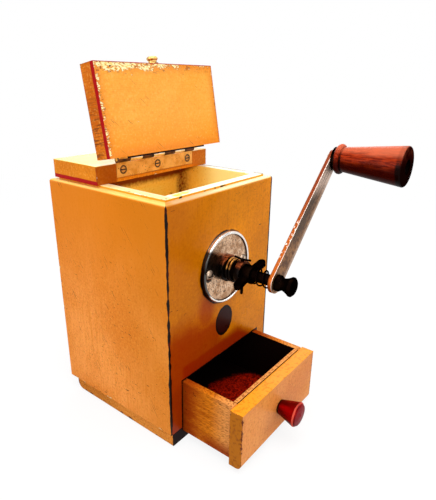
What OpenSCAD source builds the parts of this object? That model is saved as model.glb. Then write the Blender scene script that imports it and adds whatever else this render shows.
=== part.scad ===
// Hand coffee mill: a painted wooden box with a hopper under a hinged lid, a crank on a
// horizontal shaft through the front, a conical burr set inside and a drawer for the grounds.
// The origin is on the standing plane under the middle of the case. The front faces -Y.

/* [Case] */
// Width of the case across its panels
case_w = 120; // [110:1:140]
// Depth of the case across its panels
case_d = 118; // [112:1:140]
// Height of the panels
case_h = 171; // [168:1:200]
// Thickness of the outer panels
panel_t = 5; // [4:0.5:7]
// Thickness of the inner boards
board_t = 7.5; // [6:0.5:9]
// How far the inner boards stand proud at the rim
board_rise = 1.6; // [1:0.1:3]
// Rounding of the panels' outer top edge
rim_round = 2; // [1:0.5:3]
// Space between the hopper's back board and the case's back
hopper_back_gap = 11.5; // [6:0.5:16]
// Thickness of the hopper floor
floor_t = 8; // [7:0.5:10]
// Thickness of the roof board over the drawer
roof_t = 6; // [4:0.5:8]
// Chute hole in the roof board
chute_d = 48; // [40:1:52]

/* [Base] */
// Height of the side runners
base_h = 11; // [10:0.5:14]
// Width of a runner's foot
foot_w = 6.6; // [5:0.2:8]
// Set-back of the runners from the panels' sides
runner_inset = 2.2; // [1:0.2:4]
// Set-back of the runners and base board from the back
base_back = 6; // [3:0.5:9]
// Rounding of a runner's back end
runner_round = 6; // [3:0.5:8]
// Thickness of the base board
base_t = 6.6; // [5.6:0.2:7]

/* [Lid] */
// Set-back of the lid and hinge block from the case's sides
lid_inset = 2.3; // [1:0.1:4]
// Set-back of the closed lid from the case's front
lid_front = 4; // [3:0.2:8]
// Thickness of the lid
lid_t = 12.7; // [11:0.1:13]
// Front face of the hinge block, from the case's front
block_front = 65.5; // [65:0.5:68]
// Set-back of the hinge block from the case's back
block_back = 4.5; // [3:0.5:6]
// Opening of the lid at rest, from closed
lid_open = 100; // [0:1:170]
// Gap under the closed lid
lid_gap = 0.25; // [0.2:0.05:0.5]
// Diameter of the lid's knob
lid_knob_d = 8; // [7:0.5:11]
// How far the lid's knob stands out
lid_knob_l = 5.6; // [5:0.2:8]

/* [Hinge] */
// Length of the hinge
hinge_l = 80; // [70:1:90]
// Height of a leaf, from the pin
leaf_h = 12.6; // [12:0.2:13.6]
// Thickness of a leaf
leaf_t = 1.2; // [1:0.1:1.4]
// Outer diameter of the knuckles
knuckle_d = 4.4; // [4:0.2:4.6]
// Diameter of the hinge pin
pin_d = 2.2; // [1.8:0.1:2.4]
// Height of the pin above the block
pin_rise = 2.5; // [2.5:0.1:3]
// Gap between the leaves of the closed hinge
hinge_gap = 0.6; // [0.5:0.1:1]
// Gap round the leaf that is let into the block
mortise_gap = 0.5; // [0.3:0.1:0.8]
// Head diameter of the hinge screws
hinge_screw_d = 5.2; // [4.6:0.2:5.6]
// Length of the hinge screws
hinge_screw_l = 11; // [9:0.5:13]

/* [Drawer] */
// Height of the drawer opening above the panels' lower edge
opening_h = 40; // [38:0.5:44]
// Side clearance of the drawer
drawer_play = 0.7; // [0.4:0.1:1]
// Clearance over the drawer
drawer_top_play = 0.8; // [0.5:0.1:1.5]
// Clearance under the drawer
drawer_slip = 0.2; // [0.1:0.05:0.4]
// Gap behind the drawer when it is shut
drawer_back_gap = 3.5; // [2:0.5:10]
// Thickness of the drawer's sides and back
drawer_t = 5; // [4:0.5:6]
// Thickness of the drawer's bottom
drawer_floor_t = 2.6; // [2:0.2:3]
// Thickness of the thin board behind the front
inner_front_t = 3.2; // [2.4:0.2:4]
// Thickness of the drawer's front
front_t = 10; // [8:0.5:12]
// Width that the front laps over the case on each side
front_lap = 1.8; // [1:0.2:3]
// How far the front reaches below the panels' lower edge
front_drop = 7; // [5:0.5:8]
// How far the front's top lies below the drawer's sides
front_lower = 1; // [0:0.2:2]
// Rounding of the front's lower edge
front_round = 4.5; // [2:0.5:5]
// How far the drawer stands out at rest
drawer_out = 43.5; // [0:0.5:75]
// Length of the drawer's knob
knob_l = 17; // [14:0.5:20]
// Diameter of the knob's face
knob_d = 18.5; // [16:0.5:22]
// Diameter of the knob's neck
knob_neck_d = 10.4; // [9:0.2:12]

/* [Mill front] */
// Height of the shaft above the panels' lower edge
axis_h = 113; // [112:0.5:116]
// Diameter of the face plate
plate_d = 54; // [54:1:60]
// Thickness of the face plate's flat
plate_t = 1.8; // [1.2:0.1:2]
// Width of the face plate's raised rim
plate_rim_w = 2.4; // [2:0.2:2.8]
// Straight height of the rim below its rounded crest
plate_rim_h = 2; // [1.9:0.1:2.6]
// Radius on which the plate's screws sit
plate_screw_r = 20; // [19:0.5:20]
// Head diameter of the plate's screws
plate_screw_head = 8; // [7:0.5:8]
// Shank diameter of the plate's screws
plate_screw_d = 4; // [3:0.2:5]
// Outer diameter of the bearing sleeve
sleeve_d = 16; // [14:0.5:16]
// How far the sleeve stands out of the case
sleeve_out = 13.2; // [12.6:0.2:13.8]
// Outer diameter of the ring nut
ring_nut_d = 20; // [19:0.5:22]
// Thickness of the ring nut
ring_nut_t = 3; // [2.4:0.2:4]

/* [Adjuster] */
// Diameter of the shaft
shaft_d = 8; // [7:0.1:8]
// Outer diameter of the thrust collar
collar_d = 16.6; // [15:0.2:18]
// Length of the thrust collar
collar_l = 4.4; // [4:0.2:5]
// Wire diameter of one leg of the split pin
pin_wire = 1.1; // [0.9:0.1:1.2]
// How far the split pin reaches below the shaft's axis
pin_reach = 16.5; // [14:0.5:18]
// Length of a bent leg of the split pin
pin_leg = 6.8; // [5:0.2:7]
// Hub diameter of the wing nut
wing_hub_d = 13; // [12:0.5:14]
// Hub length of the wing nut
wing_hub_l = 7.2; // [6:0.2:7.6]
// Reach of the wings from the shaft's axis
wing_reach = 18; // [16:0.5:20]
// Thickness of the wings
wing_t = 3.6; // [3:0.2:4]
// Angle of the wings above level
wing_angle = 14; // [0:1:30]
// Play between the pieces along the shaft
axial_play = 0.2; // [0.1:0.05:0.3]

/* [Spring] */
// Wire diameter of the spring
spring_wire = 1.2; // [1:0.1:1.6]
// Mean diameter of the coils
spring_d = 11.3; // [10.8:0.1:11.8]
// Number of turns
spring_turns = 2.5; // [2:0.25:3]
// Gap between the spring and the wing nut at rest
spring_gap = 0.35; // [0.3:0.05:0.5]

/* [Crank] */
// Back face of the crank arm, from the case's front
arm_out = 41.3; // [40:0.1:44]
// Thickness of the crank arm
arm_t = 3.2; // [2.8:0.2:4]
// Crank radius
crank_r = 104.7; // [90:0.5:110]
// Angle of the arm above level at rest
crank_angle = 45.4; // [30:0.2:60]
// Width of the arm at the shaft
arm_w_shaft = 15.6; // [13:0.2:18]
// Width of the arm at the grip
arm_w_grip = 12.2; // [11:0.2:14]
// Side of the square on the shaft's end
square_w = 5.4; // [5:0.1:5.6]
// Diameter of the shaft's threaded end
stud_d = 5; // [4:0.2:5]
// Length of the flared nut
nut_l = 12.6; // [11:0.2:15]
// Diameter of the flared nut's base
nut_base_d = 11.4; // [10:0.2:13]
// Diameter of the flared nut's neck
nut_neck_d = 8.6; // [8:0.2:10]
// Diameter of the flared nut's rim
nut_rim_d = 13.6; // [12:0.2:15]

/* [Grip] */
// Length of the grip
grip_l = 50; // [46:1:60]
// Diameter of the bead beside the arm
grip_bead_d = 22; // [20:0.5:24]
// Diameter where the taper starts
grip_neck_d = 18.4; // [17:0.2:20]
// Diameter near the free end
grip_end_d = 28; // [25:0.5:30]
// Diameter of the spindle
spindle_d = 6; // [5:0.2:6.4]
// Diameter of the recess in the free end
grip_recess_d = 10.4; // [10:0.2:12]
// Depth of the recess in the free end
grip_recess_h = 5; // [4:0.5:7]
// Diameter of the neck washer
neck_washer_d = 17; // [15:0.5:18]
// Thickness of the neck washer
neck_washer_t = 2.2; // [1.6:0.2:3]

/* [Burrs] */
// Large radius of the burr cone
burr_r_big = 16.5; // [16:0.1:16.8]
// Radius where the fine teeth start
burr_r_small = 11; // [10.5:0.1:11.5]
// Radius of the cone's nose
burr_r_nose = 7; // [6.4:0.2:8]
// Length of the fine teeth
burr_fine_l = 16; // [15:0.5:17]
// Length of the coarse nose
burr_nose_l = 13; // [11:0.5:13.5]
// Running gap between the burrs
burr_gap = 0.6; // [0.5:0.05:0.8]
// Number of fine teeth on the cone
cone_teeth = 18; // [12:1:24]
// Number of teeth in the ring
ring_teeth = 22; // [14:1:26]
// Depth of the teeth
tooth_h = 1.6; // [1:0.1:1.8]
// Outer radius of the burr ring
ring_r = 21; // [20.6:0.1:21.4]
// Wall of the cast housing
housing_t = 3.5; // [3:0.1:4]
// Thickness of the housing's front flange
flange_t = 6; // [5:0.5:6.5]
// Inner width of the throat
throat_w = 30; // [26:1:32]
// Inner length of the throat, along the shaft
throat_l = 15; // [13:0.5:15]
// Distance of the rear bridge behind the burr ring
bridge_gap = 6; // [5.6:0.2:7]
// Thickness of the rear bridge
bridge_t = 4; // [3:0.5:5]

/* [Hidden] */
$fn = 64;
// Gap between pieces that are fixed together
seat = 0.02;
// Radial clearance of a running fit
run = 0.05;
// Depth by which a cutter overshoots a face
cut = 1;
// Set-back of the wings from the ends of their hub
edge = 0.6;

front_y = -case_d / 2;
back_y = case_d / 2;
wall_t = panel_t + board_t;
inner_w = case_w - 2 * wall_t;
opening_w = inner_w;
rim_z = base_h + case_h;
board_top = rim_z + board_rise;
base_top = base_t;
shaft_z = base_h + axis_h;
opening_top = base_h + opening_h;

// Hopper and the boards inside
housing_r = ring_r + housing_t;
throat_rise = 0.2;
floor_z = shaft_z + housing_r + throat_rise;
floor_top = floor_z + floor_t;
hopper_d = case_d - 2 * wall_t - board_t - hopper_back_gap;
hopper_back_y = front_y + wall_t + hopper_d;
roof_z = opening_top;
inner_back_y = back_y - wall_t;

// Lid and hinge
lid_w = case_w - 2 * lid_inset;
block_h = lid_gap + lid_t;
block_z = board_top;
block_top = block_z + block_h;
block_y = front_y + block_front;
pin_y = block_y - hinge_gap / 2;
pin_z = block_top + pin_rise;
lid_z = board_top + lid_gap;
lid_back_y = pin_y - hinge_gap / 2 - leaf_t - seat;
lid_front_y = front_y + lid_front;
knuckles = 7;
knuckle_l = hinge_l / knuckles;
knuckle_gap = 0.15;
knuckle_clear = 0.3;
leaf_low = pin_z - leaf_h;
leaf_top = pin_z - knuckle_d / 2 - knuckle_clear;
leaf_screw_z = pin_z - pin_rise - (leaf_h - pin_rise) / 2;
leaf_screw_inset = 6;
leaf_screw_x = [-hinge_l / 2 + leaf_screw_inset, 0, hinge_l / 2 - leaf_screw_inset];
hinge_shank_d = 2.6;
countersink_land = 0.1;
countersink_h = leaf_t - countersink_land;

// Drawer
drawer_w = opening_w - 2 * drawer_play;
drawer_l = case_d - wall_t - drawer_back_gap;
drawer_z = base_top + drawer_slip;
drawer_top = opening_top - drawer_top_play;
drawer_y = front_y - drawer_out;
front_z = base_h - front_drop;
front_top = drawer_top - front_lower;
knob_z = (front_z + front_top) / 2;
knob_screw_d = 3.6;
knob_screw_in = knob_l * 0.55;

// Stations inside the case, measured inwards from its front
throat_y = wall_t + flange_t + throat_l / 2;
ring_start = wall_t + flange_t + throat_l;
ring_end = ring_start + burr_fine_l;
bridge_start = ring_end + bridge_gap;
burr_step = 0.5;
journal_step = 1;
burr_bore_d = shaft_d - 2 * burr_step;
journal_d = shaft_d - 2 * journal_step;
burr_nut_t = 3.6;
journal_end = 1;
shaft_back = bridge_start + bridge_t + journal_end;

// Stations outside the case, measured outwards from its front
collar_in = sleeve_out + axial_play;
collar_out = collar_in + collar_l;
wing_in = collar_out + axial_play;
wing_out = wing_in + wing_hub_l;
arm_front = arm_out + arm_t;
split_pin_d = 2 * pin_wire;
split_pin_t = (collar_in + collar_out) / 2;
pin_travel = 0.45;
stud_l = nut_l * 0.7;

// Crank and grip
grip_in = arm_front + neck_washer_t + axial_play;
grip_out = grip_in + grip_l;
spindle_head_play = 0.5;
spindle_head_d = grip_recess_d - 2 * spindle_head_play;
spindle_head_h = 2;
rivet_lip = 1.5;
rivet_d = spindle_d + 2 * rivet_lip;
rivet_h = 1.4;

// Screws of the rear bridge
bridge_screw_d = 2.4;
bridge_screw_in = 6;
bridge_x = ring_r + housing_t / 2;
bridge_h = 10;

paint = "#f0a83c";
inside_paint = "#f3c878";
bare_wood = "#c98f4e";
red_wood = "#a5231b";
grip_wood = "#8f2f17";
brass = "#c9a24a";
steel = "#a9a19a";
dark_steel = "#2b2624";
iron = "#4a4744";

// Box given by its low and high corners
module slab(low, high) {
    translate(low) cube(high - low);
}

// Places children on the shaft's axis: local Z runs outwards from the case's front
module on_shaft() {
    translate([0, front_y, shaft_z]) rotate([90, 0, 0]) children();
}

// Places children at both ends of a line through the axis, level with it
module on_both_sides(radius) {
    for (side = [-1, 1]) translate([side * radius, 0, 0]) children();
}

// Turned piece: the profile is radius against distance outwards
module turned() {
    rotate_extrude() children();
}

// One side of the case: a mitred board with its outer top edge rounded
module mitred_panel(length) {
    half = length / 2;
    intersection() {
        linear_extrude(case_h)
            polygon([[-half, 0], [half, 0], [half - panel_t, panel_t], [-half + panel_t, panel_t]]);
        translate([-half, 0, 0]) rotate([90, 0, 90]) linear_extrude(length) {
            difference() {
                square([panel_t, case_h]);
                translate([0, case_h - rim_round]) square(rim_round);
            }
            intersection() {
                translate([rim_round, case_h - rim_round]) circle(rim_round);
                translate([0, case_h - rim_round]) square(rim_round);
            }
        }
    }
}

module left_panel() {
    color(paint) translate([-case_w / 2, 0, base_h]) rotate([0, 0, -90]) mitred_panel(case_d);
}

module right_panel() {
    color(paint) translate([case_w / 2, 0, base_h]) rotate([0, 0, 90]) mitred_panel(case_d);
}

module back_panel() {
    color(paint) translate([0, back_y, base_h]) rotate([0, 0, 180]) mitred_panel(case_w);
}

module front_panel() {
    color(paint) difference() {
        translate([0, front_y, base_h]) mitred_panel(case_w);
        slab([-opening_w / 2, front_y - cut, base_h - cut],
            [opening_w / 2, front_y + panel_t + cut, opening_top]);
        mill_holes();
    }
}

// Holes for the sleeve and the plate's screws through the front wall
module mill_holes() {
    on_shaft() translate([0, 0, -wall_t - cut]) {
        cylinder(d = sleeve_d + 2 * run, h = wall_t + 2 * cut);
        on_both_sides(plate_screw_r) cylinder(d = plate_screw_d + 2 * seat, h = wall_t + 2 * cut);
    }
}

module side_board(side) {
    inner = side * inner_w / 2;
    outer = inner + side * board_t;
    color(inside_paint) slab([min(inner, outer), front_y + panel_t, base_h],
        [max(inner, outer), back_y - panel_t, board_top]);
}

module left_board() {
    side_board(-1);
}

module right_board() {
    side_board(1);
}

module front_board() {
    color(inside_paint) difference() {
        slab([-inner_w / 2, front_y + panel_t, opening_top], [inner_w / 2, front_y + wall_t, board_top]);
        mill_holes();
    }
}

module back_board() {
    color(inside_paint)
        slab([-inner_w / 2, inner_back_y, base_top], [inner_w / 2, back_y - panel_t, board_top]);
}

module hopper_back() {
    color(inside_paint)
        slab([-inner_w / 2, hopper_back_y, floor_top], [inner_w / 2, hopper_back_y + board_t, board_top]);
}

// Four-sided funnel between a wide mouth and the throat, with points in order of height
module funnel(low, high, low_z, high_z) {
    function ring(box, z) = [[box[0][0], box[0][1], z], [box[1][0], box[0][1], z],
        [box[1][0], box[1][1], z], [box[0][0], box[1][1], z]];
    polyhedron(points = concat(ring(low, low_z), ring(high, high_z)),
        faces = [[0, 1, 2, 3], [7, 6, 5, 4], [0, 4, 5, 1], [1, 5, 6, 2], [2, 6, 7, 3], [3, 7, 4, 0]]);
}

module hopper_floor() {
    lip = 2;
    step = 1.5;
    front = front_y + wall_t;
    throat_low = [-throat_w / 2, front_y + throat_y - throat_l / 2];
    throat_high = [throat_w / 2, front_y + throat_y + throat_l / 2];
    mouth_low = [-inner_w / 2 + lip, front + lip];
    mouth_high = [inner_w / 2 - lip, hopper_back_y - lip];
    color(inside_paint) difference() {
        slab([-inner_w / 2, front, floor_z], [inner_w / 2, hopper_back_y + board_t, floor_top]);
        slab([throat_low[0], throat_low[1], floor_z - cut],
            [throat_high[0], throat_high[1], floor_top + cut]);
        funnel([throat_low, throat_high], [mouth_low, mouth_high], floor_z + step, floor_top + seat);
    }
}

module drawer_roof() {
    color(bare_wood) difference() {
        slab([-inner_w / 2, front_y + wall_t, roof_z], [inner_w / 2, inner_back_y, roof_z + roof_t]);
        translate([0, front_y + ring_end, roof_z - cut]) cylinder(d = chute_d, h = roof_t + 2 * cut);
    }
}

module base_board() {
    foot_x = case_w / 2 - runner_inset - foot_w;
    color(paint) slab([-foot_x, front_y + drawer_slip, 0],
        [foot_x, back_y - base_back, base_top]);
}

// Side runner: a foot with a ledge over the base board, rounded at the back
module runner(side) {
    length = case_d - base_back - drawer_slip;
    outer = case_w / 2 - runner_inset;
    foot_x = outer - foot_w;
    ledge_x = inner_w / 2;
    color(paint) translate([0, front_y + drawer_slip, 0]) difference() {
        union() {
            slab([min(side * outer, side * foot_x), 0, 0],
                [max(side * outer, side * foot_x), length, base_h]);
            slab([min(side * outer, side * ledge_x), 0, base_top],
                [max(side * outer, side * ledge_x), length, base_h]);
        }
        translate([0, length - runner_round, 0]) rotate([90, 0, 90]) translate([0, 0, -case_w])
            linear_extrude(2 * case_w) difference() {
                translate([0, -cut]) square([runner_round + cut, runner_round + cut]);
                translate([0, runner_round]) circle(runner_round);
            }
    }
}

module left_runner() {
    runner(-1);
}

module right_runner() {
    runner(1);
}

module hinge_block() {
    color(paint) difference() {
        slab([-lid_w / 2, block_y, block_z], [lid_w / 2, back_y - block_back, block_top]);
        slab([-hinge_l / 2 - mortise_gap, block_y - cut, leaf_low - mortise_gap],
            [hinge_l / 2 + mortise_gap, block_y + leaf_t + seat, block_top + cut]);
        leaf_screw_holes();
    }
}

// Pilot holes for one leaf's screws, at the block's face
module leaf_screw_holes() {
    for (x = leaf_screw_x)
        translate([x, block_y, leaf_screw_z]) rotate([-90, 0, 0])
            cylinder(d = hinge_shank_d + 2 * seat, h = hinge_screw_l + cut);
}

// One knuckle around the pin's line, with the web that joins it to its leaf
module knuckle(index) {
    start = -hinge_l / 2 + index * knuckle_l + knuckle_gap;
    length = knuckle_l - 2 * knuckle_gap;
    translate([start, pin_y, pin_z]) rotate([0, 90, 0]) cylinder(d = knuckle_d, h = length);
    slab([start, block_y, leaf_low], [start + length, block_y + leaf_t, pin_z]);
}

// A leaf at the block's face, with its own knuckles bored for the pin
module leaf(own, bore) {
    difference() {
        union() {
            slab([-hinge_l / 2, block_y, leaf_low], [hinge_l / 2, block_y + leaf_t, leaf_top]);
            for (index = own) knuckle(index);
        }
        translate([-hinge_l / 2 - cut, pin_y, pin_z]) rotate([0, 90, 0])
            cylinder(d = pin_d + 2 * bore, h = hinge_l + 2 * cut);
        for (x = leaf_screw_x)
            translate([x, block_y, leaf_screw_z]) rotate([-90, 0, 0]) leaf_screw(seat, cut);
    }
}

// Countersunk screw with its head's face at the origin, grown by a clearance
module leaf_screw(grow, above) {
    turned() polygon([[0, -above], [hinge_screw_d / 2 + grow, -above], [hinge_screw_d / 2 + grow, 0],
        [hinge_shank_d / 2 + grow, countersink_h], [hinge_shank_d / 2 + grow, hinge_screw_l],
        [0, hinge_screw_l]]);
}

module leaf_screws() {
    slot_w = 0.9;
    slot_h = 0.7;
    for (x = leaf_screw_x) translate([x, block_y, leaf_screw_z]) rotate([-90, 0, 0]) difference() {
        leaf_screw(0, 0);
        translate([-hinge_screw_d, -slot_w / 2, -cut]) cube([2 * hinge_screw_d, slot_w, slot_h + cut]);
    }
}

// Turns the lid's pieces from closed to their place at rest
module opened() {
    translate([0, pin_y, pin_z]) rotate([-lid_open, 0, 0]) translate([0, -pin_y, -pin_z]) children();
}

// Mirrors what sits at the block's face onto the closed lid's back edge
module facing_block() {
    translate([0, 2 * pin_y, 0]) mirror([0, 1, 0]) children();
}

module block_leaf() {
    color(brass) leaf([0, 2, 4, 6], seat);
}

module lid_leaf() {
    color(brass) opened() facing_block() leaf([1, 3, 5], run);
}

module hinge_pin() {
    color(brass) translate([-hinge_l / 2, pin_y, pin_z]) rotate([0, 90, 0]) cylinder(d = pin_d, h = hinge_l);
}

module block_leaf_screws() {
    color(dark_steel) leaf_screws();
}

module lid_leaf_screws() {
    color(dark_steel) opened() facing_block() leaf_screws();
}

module lid_board() {
    color(paint) opened() difference() {
        slab([-lid_w / 2, lid_front_y, lid_z], [lid_w / 2, lid_back_y, lid_z + lid_t]);
        facing_block() leaf_screw_holes();
        translate([0, lid_front_y, lid_z + lid_t / 2]) rotate([-90, 0, 0]) translate([0, 0, -cut])
            cylinder(d = lid_knob_d / 3 + 2 * seat, h = lid_knob_d + 2 * cut);
    }
}

// Small turned button: a foot, a waist and a dished bead, with a stem into the lid's front edge
module lid_knob() {
    r = lid_knob_d / 2;
    stem = lid_knob_d / 6;
    foot = lid_knob_l / 5;
    bead = lid_knob_l / 4;
    waist = r * 0.74;
    dish_r = r * 0.8;
    dish = r * 0.32;
    color(brass) opened() translate([0, lid_front_y, lid_z + lid_t / 2]) rotate([90, 0, 0]) turned()
        difference() {
            union() {
                translate([0, -lid_knob_d]) square([stem, lid_knob_d]);
                square([r, foot]);
                square([waist, lid_knob_l - bead]);
                translate([0, lid_knob_l - 2 * bead]) square([r - bead, 2 * bead]);
                translate([r - bead, lid_knob_l - bead]) circle(bead);
            }
            translate([0, lid_knob_l + dish_r - dish]) intersection() {
                circle(dish_r);
                translate([0, -dish_r]) square(2 * dish_r);
            }
        }
}

// Drawer front with its lower edge rounded, laid over the opening
module drawer_front() {
    color(paint) difference() {
        translate([-opening_w / 2 - front_lap, drawer_y, 0]) rotate([90, 0, 90])
            linear_extrude(opening_w + 2 * front_lap) {
                translate([-front_t, front_z + front_round])
                    square([front_t, front_top - front_z - front_round]);
                translate([-front_t + front_round, front_z]) square([front_t - front_round, front_round]);
                intersection() {
                    translate([-front_t + front_round, front_z + front_round]) circle(front_round);
                    translate([-front_t, front_z]) square(front_round);
                }
            }
        drawer_screw_hole();
    }
}

module drawer_side(side) {
    outer = side * drawer_w / 2;
    inner = outer - side * drawer_t;
    color(bare_wood) slab([min(outer, inner), drawer_y, drawer_z + drawer_floor_t],
        [max(outer, inner), drawer_y + drawer_l, drawer_top]);
}

module drawer_left() {
    drawer_side(-1);
}

module drawer_right() {
    drawer_side(1);
}

// Board between the drawer's sides, from one depth to another behind the front
module drawer_cross(from, to) {
    half = drawer_w / 2 - drawer_t;
    slab([-half, drawer_y + from, drawer_z + drawer_floor_t], [half, drawer_y + to, drawer_top]);
}

module drawer_inner_front() {
    color(bare_wood) difference() {
        drawer_cross(0, inner_front_t);
        drawer_screw_hole();
    }
}

// Hole for the knob's screw, through both boards of the drawer's front
module drawer_screw_hole() {
    translate([0, drawer_y - front_t - cut, knob_z]) rotate([-90, 0, 0])
        cylinder(d = knob_screw_d + 2 * seat, h = front_t + inner_front_t + 2 * cut);
}

module drawer_back() {
    color(bare_wood) drawer_cross(drawer_l - drawer_t, drawer_l);
}

module drawer_bottom() {
    color(bare_wood) slab([-drawer_w / 2, drawer_y, drawer_z],
        [drawer_w / 2, drawer_y + drawer_l, drawer_z + drawer_floor_t]);
}

// Drawer knob: a cone that flares to a rounded face, bored for its screw
module drawer_knob() {
    rim = 1.4;
    color(red_wood) translate([0, drawer_y - front_t, knob_z]) rotate([90, 0, 0]) difference() {
        turned() {
            polygon([[0, 0], [knob_neck_d / 2, 0], [knob_d / 2, knob_l - 2 * rim],
                [knob_d / 2 - rim, knob_l - rim / 2], [0, knob_l]]);
            translate([knob_d / 2 - rim, knob_l - 2 * rim]) circle(rim);
        }
        translate([0, 0, -cut]) cylinder(d = knob_screw_d + 2 * seat, h = knob_screw_in + 2 * cut);
    }
}

// Round-headed screw from inside the drawer into the knob
module drawer_knob_screw() {
    head_d = 2 * knob_screw_d;
    head_h = knob_screw_d / 2;
    color(steel) translate([0, drawer_y + inner_front_t, knob_z]) rotate([90, 0, 0]) {
        cylinder(d = knob_screw_d, h = inner_front_t + front_t + knob_screw_in);
        translate([0, 0, -head_h]) cylinder(d1 = head_d - head_h, d2 = head_d, h = head_h);
    }
}

module face_plate() {
    r = plate_d / 2;
    color(steel) on_shaft() difference() {
        turned() {
            translate([sleeve_d / 2 + run, 0]) square([r - plate_rim_w - sleeve_d / 2, plate_t]);
            translate([r - plate_rim_w, 0]) square([plate_rim_w, plate_rim_h]);
            translate([r - plate_rim_w / 2, plate_rim_h]) circle(plate_rim_w / 2);
        }
        on_both_sides(plate_screw_r) translate([0, 0, -cut])
            cylinder(d = plate_screw_d + 2 * seat, h = plate_t + 2 * cut);
    }
}

// Domed slotted screws through plate, panel and board into the housing's flange
module face_plate_screws() {
    r = plate_screw_head / 2;
    dome_h = r * 0.65;
    dome_r = (r * r + dome_h * dome_h) / (2 * dome_h);
    slot_w = plate_screw_head / 7;
    length = plate_t + wall_t + flange_t - cut;
    color(steel) on_shaft() on_both_sides(plate_screw_r) translate([0, 0, plate_t]) difference() {
        union() {
            turned() intersection() {
                translate([0, dome_h - dome_r]) circle(dome_r);
                square([r, dome_h]);
            }
            translate([0, 0, -length]) cylinder(d = plate_screw_d, h = length + dome_h / 2);
        }
        translate([-r, -slot_w / 2, dome_h / 2]) cube([2 * r, slot_w, dome_h]);
    }
}

module bearing_sleeve() {
    inside = wall_t + flange_t;
    color(dark_steel) on_shaft() translate([0, 0, -inside]) difference() {
        cylinder(d = sleeve_d, h = inside + sleeve_out);
        translate([0, 0, -cut]) cylinder(d = shaft_d + 2 * run, h = inside + sleeve_out + 2 * cut);
    }
}

// Ring nut with spanner notches around its rim
module ring_nut() {
    notches = 6;
    notch_w = ring_nut_d / 6;
    notch_h = ring_nut_d / 20;
    color(dark_steel) on_shaft() translate([0, 0, plate_t]) difference() {
        cylinder(d = ring_nut_d, h = ring_nut_t);
        translate([0, 0, -cut]) cylinder(d = sleeve_d + 2 * seat, h = ring_nut_t + 2 * cut);
        for (i = [0 : notches - 1]) rotate([0, 0, i * 360 / notches])
            translate([ring_nut_d / 2 - notch_h, -notch_w / 2, -cut])
                cube([2 * notch_h, notch_w, ring_nut_t + 2 * cut]);
    }
}

// Places children on the shaft's axis with local Z running into the case
module into_case() {
    on_shaft() mirror([0, 0, 1]) children();
}

module mill_housing() {
    chamber_r = ring_r - housing_t / 2;
    flange_in = wall_t + flange_t;
    throat_in = ring_start - throat_l;
    throat_half = throat_w / 2 + housing_t;
    color(iron) into_case() difference() {
        union() {
            translate([0, 0, wall_t]) cylinder(r = housing_r, h = ring_end - wall_t);
            slab([-throat_half, 0, throat_in - housing_t],
                [throat_half, floor_z - shaft_z, ring_start + housing_t]);
        }
        translate([0, 0, wall_t - cut]) cylinder(d = sleeve_d + 2 * seat, h = flange_t + 2 * cut);
        translate([0, 0, flange_in]) cylinder(r = chamber_r, h = throat_l + cut);
        translate([0, 0, ring_start]) cylinder(r = ring_r + seat, h = burr_fine_l + cut);
        slab([-throat_w / 2, 0, throat_in], [throat_w / 2, housing_r + cut, ring_start]);
        on_both_sides(plate_screw_r) translate([0, 0, wall_t - cut])
            cylinder(d = plate_screw_d + 2 * seat, h = flange_t);
        on_both_sides(bridge_x) translate([0, 0, ring_end - bridge_screw_in])
            cylinder(d = bridge_screw_d + 2 * seat, h = bridge_screw_in + cut);
    }
}

// Straight tooth gaps laid along a cone, as square bars on edge
module tooth_gaps(count, r_start, r_end, length, size) {
    lean = atan((r_end - r_start) / length);
    for (i = [0 : count - 1]) rotate([0, 0, i * 360 / count]) translate([r_start, 0, 0]) rotate([0, lean, 0])
        translate([0, 0, -length / 2]) linear_extrude(2 * length) circle(r = size, $fn = 4);
}

module burr_ring() {
    r_in = burr_r_small + burr_gap;
    r_out = burr_r_big + burr_gap;
    grow = (r_out - r_in) * cut / burr_fine_l;
    color(iron) into_case() translate([0, 0, ring_start]) difference() {
        cylinder(r = ring_r, h = burr_fine_l);
        translate([0, 0, -cut]) cylinder(r1 = r_in - grow, r2 = r_out + grow, h = burr_fine_l + 2 * cut);
        tooth_gaps(ring_teeth, r_in, r_out, burr_fine_l, tooth_h);
    }
}

// Burr cone: fluted nose that draws the beans in, then fine teeth that meet the ring
module burr_cone() {
    flutes = 4;
    flute_r = 3.6;
    flute_depth = 2;
    lean = atan((burr_r_small - burr_r_nose) / burr_nose_l);
    color(iron) into_case() difference() {
        union() {
            translate([0, 0, ring_start - burr_nose_l]) difference() {
                cylinder(r1 = burr_r_nose, r2 = burr_r_small, h = burr_nose_l);
                for (i = [0 : flutes - 1]) rotate([0, 0, (i + 0.5) * 360 / flutes])
                    translate([burr_r_nose - flute_depth + flute_r, 0, 0]) rotate([0, lean, 0])
                        translate([0, 0, -cut]) cylinder(r = flute_r, h = 2 * burr_nose_l);
            }
            translate([0, 0, ring_start]) difference() {
                cylinder(r1 = burr_r_small, r2 = burr_r_big, h = burr_fine_l);
                tooth_gaps(cone_teeth, burr_r_small, burr_r_big, burr_fine_l, tooth_h);
            }
        }
        translate([0, 0, ring_start - burr_nose_l - cut])
            cylinder(d = burr_bore_d + 2 * seat, h = burr_nose_l + burr_fine_l + 2 * cut);
    }
}

module burr_nut() {
    color(dark_steel) into_case() translate([0, 0, ring_end]) difference() {
        cylinder(d = 2 * burr_bore_d, h = burr_nut_t, $fn = 6);
        translate([0, 0, -cut]) cylinder(d = burr_bore_d + 2 * seat, h = burr_nut_t + 2 * cut);
    }
}

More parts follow.
